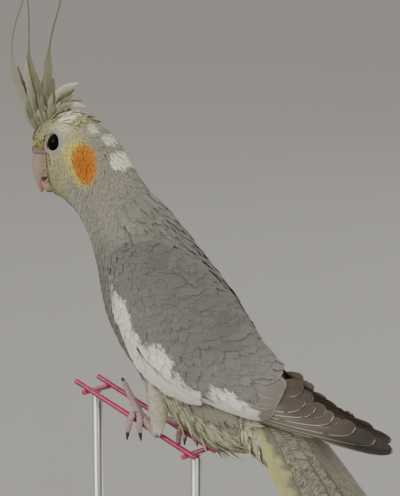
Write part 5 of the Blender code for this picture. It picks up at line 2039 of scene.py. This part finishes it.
@dataclass
class Crest:
    """The raised crest, feather by feather, with short plumes that close its foot. The four
    rows of fan hold a share from front to back, the foot in side view and the directions in
    degrees that a short plume has at its root and its tip."""

    strips: int = 30
    short: int = 130
    drawn_out: tuple[tuple[float, float], ...] = (
        (0.0, 0.6), (0.12, 0.9), (0.28, 1.0), (0.42, 0.92), (0.50, 0.6), (0.57, 0.26),
        (0.68, 0.17), (1.0, 0.13))
    rounded: tuple[tuple[float, float], ...] = (
        (0.0, 0.6), (0.3, 1.0), (0.65, 0.9), (0.88, 0.55), (0.96, 0.3), (1.0, 0.1))
    fan: tuple[tuple[float, ...], ...] = (
        (0.0, -60.4, 227.6, 152.0, 104.0), (0.35, -57.4, 230.2, 122.0, 98.0),
        (0.7, -53.6, 232.4, 88.0, 74.0), (1.0, -49.6, 233.8, 52.0, 24.0))

    def build(self, large: bpy.types.Material) -> None:
        """Make the crest."""
        flocks = [self.lay(plume, self.strips, 6) for plume in PLUMES]
        flocks += [self.lay(plume, 12, 4) for plume in self.short_plumes()]
        make_coat("vanes_crest", flocks, large, "plumage_face", ["crest"])

    def lay(self, plume: Plume, strips: int, across: int) -> Flock:
        """Lay one plume along its curve."""
        form = CurveForm(plume.points, plume.aside, 0.35, -0.45)
        tone = np.array([linear(plume.tone)])
        return Flock(
            form=form, shape=large_feather(self.drawn_out if plume.thin else self.rounded, across,
                                           strips, 1.0, 0.08, 3, round(plume.half * 100)),
            roots=np.zeros((1, 2)), heading=np.zeros(1), length=np.array([form.length]),
            half=np.array([plume.half]), rise=np.zeros((1, 2)), tint=tone * 0.86, thick=0.12,
            camber=0.3, cells=True, tip_tint=tone * (0.62 if plume.thin else 1.12))

    def short_plumes(self) -> list[Plume]:
        """Work out the short plumes round the foot of the crest."""
        chance = np.random.default_rng(47)
        fan = np.array(self.fan)
        made = []
        for share in np.sort(chance.uniform(0, 1, self.short)):
            x, z, first, last = (float(np.interp(share, fan[:, 0], fan[:, k]))
                                 for k in range(1, 5))
            length = chance.uniform(5.0, 17.0) * (1 - 0.35 * share)
            turns = np.radians(np.linspace(first, last, 5) + chance.normal(0, 7))
            points = [(x, z)]
            for turn in turns:
                x += math.cos(turn) * length / 5
                z += math.sin(turn) * length / 5
                points.append((x, z))
            tone = np.array((OLIVE, DARK_OLIVE, PALE_OLIVE)[chance.integers(0, 3)])
            tone = tone * (1 - 0.5 * share ** 2) + np.array(PALE) * 0.5 * share ** 2
            made.append(Plume(chance.uniform(-6.0, 6.0) * (1 - 0.4 * share),
                              chance.uniform(0.6, 1.3), tuple(tone), False, points))
        return made


# Legs and feet


WIRE_SLOPE = -0.42
WIRE_SPACING = 9.3
WIRE_RADIUS = 1.2
WIRE_HEIGHT = {"left": 98.0, "right": 95.8}
WIRE_FRONT = -37.0
WIRE_REAR = 27.0
ROD_X = {"front": -31.0, "rear": 22.0}
HEEL = {"left": (9.4, 12.6, 96.0), "right": (20.4, 13.2, 88.6)}
SHANK_TOP = {"left": (10.6, 13.0, 120.0), "right": (20.0, 13.0, 112.0)}
FOOT_X = {"left": -2.0, "right": 11.6}
FOOT_CLEARANCE = 2.2
GAP = 0.3
TOES = {
    "left": {
        "2": [(-3.0, -3.5, 1.2), (-5.5, -6.5, 2.0), (-7.0, -8.5, 0.5)],
        "3": [(-5.0, -3.5, 3.2), (-10.5, -7.0, 7.6), (-15.6, -10.9, 10.8)],
        "4": [(-2.0, 3.0, 0.0), (-3.0, 4.4, -4.0), (-3.6, 4.6, -8.0)],
        "1": [(2.0, 3.0, -1.0), (2.4, 4.4, -4.5), (2.8, 4.4, -7.4)],
    },
    "right": {
        "2": [(-0.8, -3.2, -0.4), (-1.6, -4.4, -4.2), (-1.6, -4.4, -7.8)],
        "3": [(-4.2, -2.4, 1.8), (-8.0, -3.8, 2.8), (-11.2, -5.0, 2.2)],
        "4": [(-2.0, 3.0, 0.0), (-3.0, 4.4, -4.0), (-3.6, 4.6, -8.0)],
        "1": [(2.0, 3.0, -1.0), (2.4, 4.4, -4.5), (2.8, 4.4, -7.4)],
    },
}
TOE_GUIDE = (0.6, 0.8, 0.15)


def wire_point(side: str, x: float) -> np.ndarray:
    """The middle of one long wire at x."""
    sign = LEFT if side == "left" else RIGHT
    return np.array([x, sign * WIRE_SPACING, WIRE_HEIGHT[side] + WIRE_SLOPE * x])


@dataclass
class Leg:
    """One leg: feathered shank, scaly foot and claws."""

    side: str
    shank_radii: tuple[float, ...] = (5.4, 5.0, 4.5, 3.9, 3.2, 2.4)
    toe_radii: tuple[float, ...] = (1.7, 1.6, 1.4, 1.1)

    def build(self, small: bpy.types.Material, skin: bpy.types.Material,
              horn: bpy.types.Material, body_skin: bpy.types.Material,
              plumage: Plumage) -> None:
        """Make every piece of the leg."""
        sign = LEFT if self.side == "left" else RIGHT
        heel = np.array(HEEL[self.side]) * (1, sign, 1)
        top = np.array(SHANK_TOP[self.side]) * (1, sign, 1)
        end = heel + (top - heel) * 0.1
        form = PathForm(top, end, self.shank_radii)
        turns = (np.arange(28) / 28 - 0.5) * 2 * math.pi
        chart = np.stack(np.meshgrid(np.linspace(0, form.length, 16), turns, indexing="ij"),
                         axis=-1)
        middle = form.start + form.run * (chart[..., 0:1] / form.length)
        places = form.point(chart)
        rings = places + (middle - places) * 0.16
        wrap_rings("skin_thigh_" + self.side, rings,
                   lambda p: np.tile(Tone.SHANK.linear * 0.6, (len(p), 1)), body_skin,
                   ["thigh_" + self.side], bake=True)
        make_coat("coat_thigh_" + self.side, [self.shank_flock(form, plumage)], small,
                  "plumage_grey")
        self.build_foot(sign, heel, skin, horn)

    def shank_flock(self, form: PathForm, plumage: Plumage) -> Flock:
        """Lay soft feathers down the shank."""
        chance = np.random.default_rng(71 if self.side == "left" else 72)
        count = 1100
        along = form.length * chance.uniform(-0.1, 0.84, count)
        roots = np.stack([along, chance.uniform(-math.pi, math.pi, count)], axis=-1)
        tint = plumage.vary(np.tile(Tone.SHANK.linear, (count, 1)), 0.08)
        return Flock(form=form, shape=fanned(small_feather(), THREE_BLADES), roots=roots,
                     heading=chance.normal(0, 0.14, count),
                     length=chance.uniform(4.5, 7.5, count), half=chance.uniform(0.7, 1.2, count),
                     rise=np.stack([np.full(count, -0.7), chance.uniform(0.0, 0.8, count)],
                                   axis=-1),
                     tint=tint, curl=0.9)

    def build_foot(self, sign: int, heel: np.ndarray, skin: bpy.types.Material,
                   horn: bpy.types.Material) -> None:
        """Make the tarsus, the toes with their scutes, and the claws."""
        wire = wire_point(self.side, FOOT_X[self.side])
        pad = wire + np.array([0.0, 0.0, WIRE_RADIUS + FOOT_CLEARANCE + GAP])
        rings = tube_rings(heel + (pad - heel) * np.linspace(-0.04, 1.04, 26)[:, None],
                           2.0 + 0.16 * np.sin(np.linspace(0, 40, 26)), 24)
        wrap_rings("tarsus_" + self.side, rings, Tone.FOOT.value, skin,
                   ["foot_" + self.side])
        for toe, offsets in TOES[self.side].items():
            path = [pad + np.array(offsets[0]) * (0.1, sign * 0.1, 0.1)]
            path += [pad + np.array(offset) * (1, sign, 1) for offset in offsets]
            curve = blend_rows(path, 9)
            share = np.linspace(0, 1, len(curve))
            radius = np.interp(share, np.linspace(0, 1, 4), self.toe_radii)
            scute = 0.10 * np.abs(np.sin(share * math.pi * 9)) + 0.14 * np.cos(
                share * math.pi * 6) ** 2 - 0.12
            tip = np.sqrt(np.clip((1 - share) * 9, 0, 1))
            rings = tube_rings(curve, (radius + scute) * (0.25 + 0.75 * tip), 20, TOE_GUIDE)
            wrap_rings("toe_%s%s" % (self.side, toe), rings, Tone.FOOT.value, skin)
            ahead = unit(curve[-1] - curve[-4])
            bend = unit(ahead + np.array([0.0, 0.0, -0.7]))
            root = curve[-1] - ahead * 0.5
            hook = blend_rows([root, root + ahead * 2.1, root + ahead * 2.2 + bend * 2.0], 7)
            size = np.interp(np.linspace(0, 1, len(hook)), (0, 0.5, 1), (0.95, 0.7, 0.08))
            wrap_rings("claw_horn_%s%s" % (self.side, toe), tube_rings(hook, size, 16, TOE_GUIDE),
                       Tone.CLAW.value, horn,
                       ["claw_%s%s" % (self.side, toe)])


# Perch and stand


@dataclass
class Perch:
    """Two lengths of coated wire, joined by a cross wire near each end."""

    around: int = 24

    def build(self, coat: bpy.types.Material) -> None:
        """Make the wires as one piece of rounded rods."""
        rods = []
        for side in ("left", "right"):
            rods.append((wire_point(side, WIRE_FRONT), wire_point(side, WIRE_REAR)))
        for x in ROD_X.values():
            ends = []
            for side, reach in (("left", -2.2), ("right", 2.2)):
                ends.append(wire_point(side, x) + np.array([0.0, reach, -WIRE_RADIUS * 1.6]))
            rods.append(tuple(ends))
        for index, (start, end) in enumerate(rods):
            name = ("wire_left", "wire_right", "wire_cross_front", "wire_cross_rear")[index]
            share = np.array([0, 0.0, 0.002, 0.008, *np.linspace(0.03, 0.97, 9), 0.992, 0.998,
                              1.0, 1.0])
            radius = np.array([0.02, 0.6, 0.86, 1.0, *[1.0] * 9, 1.0, 0.86, 0.6, 0.02])
            points = start + (end - start) * share[:, None]
            points[0] -= unit(end - start) * 0.001
            points[-1] += unit(end - start) * 0.001
            guide = (0.0, 1.0, 0.0) if index < 2 else (1.0, 0.0, 0.0)
            wrap_rings(name, tube_rings(points, radius * WIRE_RADIUS, self.around, guide),
                       WireFinish.colour, coat,
                       ["perch_wires"] if index == 0 else [])


@dataclass
class Stand:
    """The display stand's rods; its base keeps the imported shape."""

    rod_radius: float = 2.5
    base_top: float = 8.0

    def build(self, wood: bpy.types.Material, steel: bpy.types.Material) -> None:
        """Dress the base and make smooth rods with a collar at the foot."""
        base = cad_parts["stand_base"]
        base.data.materials.clear()
        base.data.materials.append(wood)
        for name, x in ROD_X.items():
            top = (wire_point("left", x)[2] + wire_point("right", x)[2]) / 2
            top -= WIRE_RADIUS * 2.6 + GAP
            foot = self.base_top + GAP
            heights = [foot, foot, foot + 0.4, foot + 3.0, foot + 3.4, foot + 3.4, top - 0.5,
                       top, top]
            radii = [0.02, 3.6, 4.0, 4.0, 3.6, self.rod_radius, self.rod_radius,
                     self.rod_radius - 0.5, 0.02]
            points = np.array([(x, 0.0, height) for height in heights])
            points[:, 2] += np.linspace(0, 0.01, len(points))
            rings = tube_rings(points, np.array(radii), 40, (1.0, 0.0, 0.0))
            wrap_rings("stand_rod_%s_steel" % name, rings, SteelFinish.colour, steel,
                       ["stand_rod_" + name])


# Stage


@dataclass
class Stage:
    """Floor, light and camera."""

    azimuth: float = 30.0
    elevation: float = 11.0
    distance: float = 0.75
    target: tuple[float, float, float] = (0.024, 0.0, 0.180)
    lens: float = 123.7

    def build(self, floor_finish: bpy.types.Material) -> None:
        """Make the floor, the lights and the camera."""
        shape = bmesh.new()
        bmesh.ops.create_grid(shape, x_segments=1, y_segments=1, size=18.0)
        mesh = bpy.data.meshes.new("floor")
        shape.to_mesh(mesh)
        shape.free()
        mesh.materials.append(floor_finish)
        floor = bpy.data.objects.new("floor", mesh)
        bpy.context.scene.collection.objects.link(floor)
        world = bpy.data.worlds.new("studio")
        bpy.context.scene.world = world
        world.use_nodes = True
        background = world.node_tree.nodes["Background"]
        background.inputs["Color"].default_value = (0.84, 0.82, 0.78, 1.0)
        background.inputs["Strength"].default_value = 0.80
        self.light("key", (-0.6, -1.2, 1.0), 0.9, 11.0)
        self.light("fill", (1.3, -0.9, 0.6), 1.2, 10.0)
        self.light("back", (0.6, 1.2, 1.0), 0.9, 5.0)
        camera = bpy.data.cameras.new("camera")
        camera.sensor_width = 36.0
        camera.lens = self.lens
        camera.clip_start = 0.01
        camera.clip_end = 20.0
        viewer = bpy.data.objects.new("camera", camera)
        bpy.context.scene.collection.objects.link(viewer)
        turn, lift = math.radians(self.azimuth), math.radians(self.elevation)
        back = Vector((math.sin(turn) * math.cos(lift), -math.cos(turn) * math.cos(lift),
                       math.sin(lift)))
        viewer.location = Vector(self.target) + back * self.distance
        viewer.rotation_euler = back.to_track_quat("Z", "Y").to_euler()
        bpy.context.scene.camera = viewer

    def light(self, name: str, place: tuple[float, float, float], size: float,
              power: float) -> None:
        """Make one square area light that points at the bird."""
        lamp = bpy.data.lights.new(name, "AREA")
        lamp.size = size
        lamp.energy = power
        lit = bpy.data.objects.new(name, lamp)
        bpy.context.scene.collection.objects.link(lit)
        lit.location = place
        way = Vector(place) - Vector((0.02, 0.0, 0.15))
        lit.rotation_euler = way.to_track_quat("Z", "Y").to_euler()


def main() -> None:
    """Build the bird, its perch, its stand and the stage."""
    logging.basicConfig(level=logging.INFO, format="%(message)s")
    small = PlumageFinish("plumage_small").build()
    large = VaneFinish("plumage_vanes", edge=Tone.RIM.value).build()
    marbled = VaneFinish("plumage_marbled", marks=Tone.TAIL_MARK.value).build()
    under = PlumageFinish("plumage_skin", streaks=600.0, depth=0.3).build()
    bare = SkinFinish("skin_bare", cells=1500.0, relief=0.00014).build()
    scaly = SkinFinish("skin_scaly", cells=650.0, relief=0.0004).build()
    horn = HornFinish("horn").build()
    plumage = Plumage()
    wings = {"left": WingForm(LEFT), "right": WingForm(RIGHT, -6.0, math.radians(0.8), 4.4)}

    BodyCoat(BodyForm(), list(wings.values()), plumage).build(small, under)
    Head().build(bare, horn, EyeFinish().build())
    Crest().build(large)
    for seed, (side, form) in enumerate(wings.items()):
        # The far (right) wing's primaries and inner flight feathers get a 2.6 times lighter tint:
        # painted light that lifts them out of the near wing's shade.
        Wing(form, side, 101 + seed * 20, plumage,
             quill_painted_light=2.6 if side == "right" else 1.0).build(small, large, under)
    Tail(TailForm(), RumpForm()).build(small, marbled, under, plumage)
    for side in ("left", "right"):
        Leg(side).build(small, scaly, horn, under, plumage)
    Perch().build(WireFinish().build())
    Stand().build(WoodFinish().build(), SteelFinish().build())
    Stage().build(FloorFinish().build())


if __name__ == "__main__":
    main()
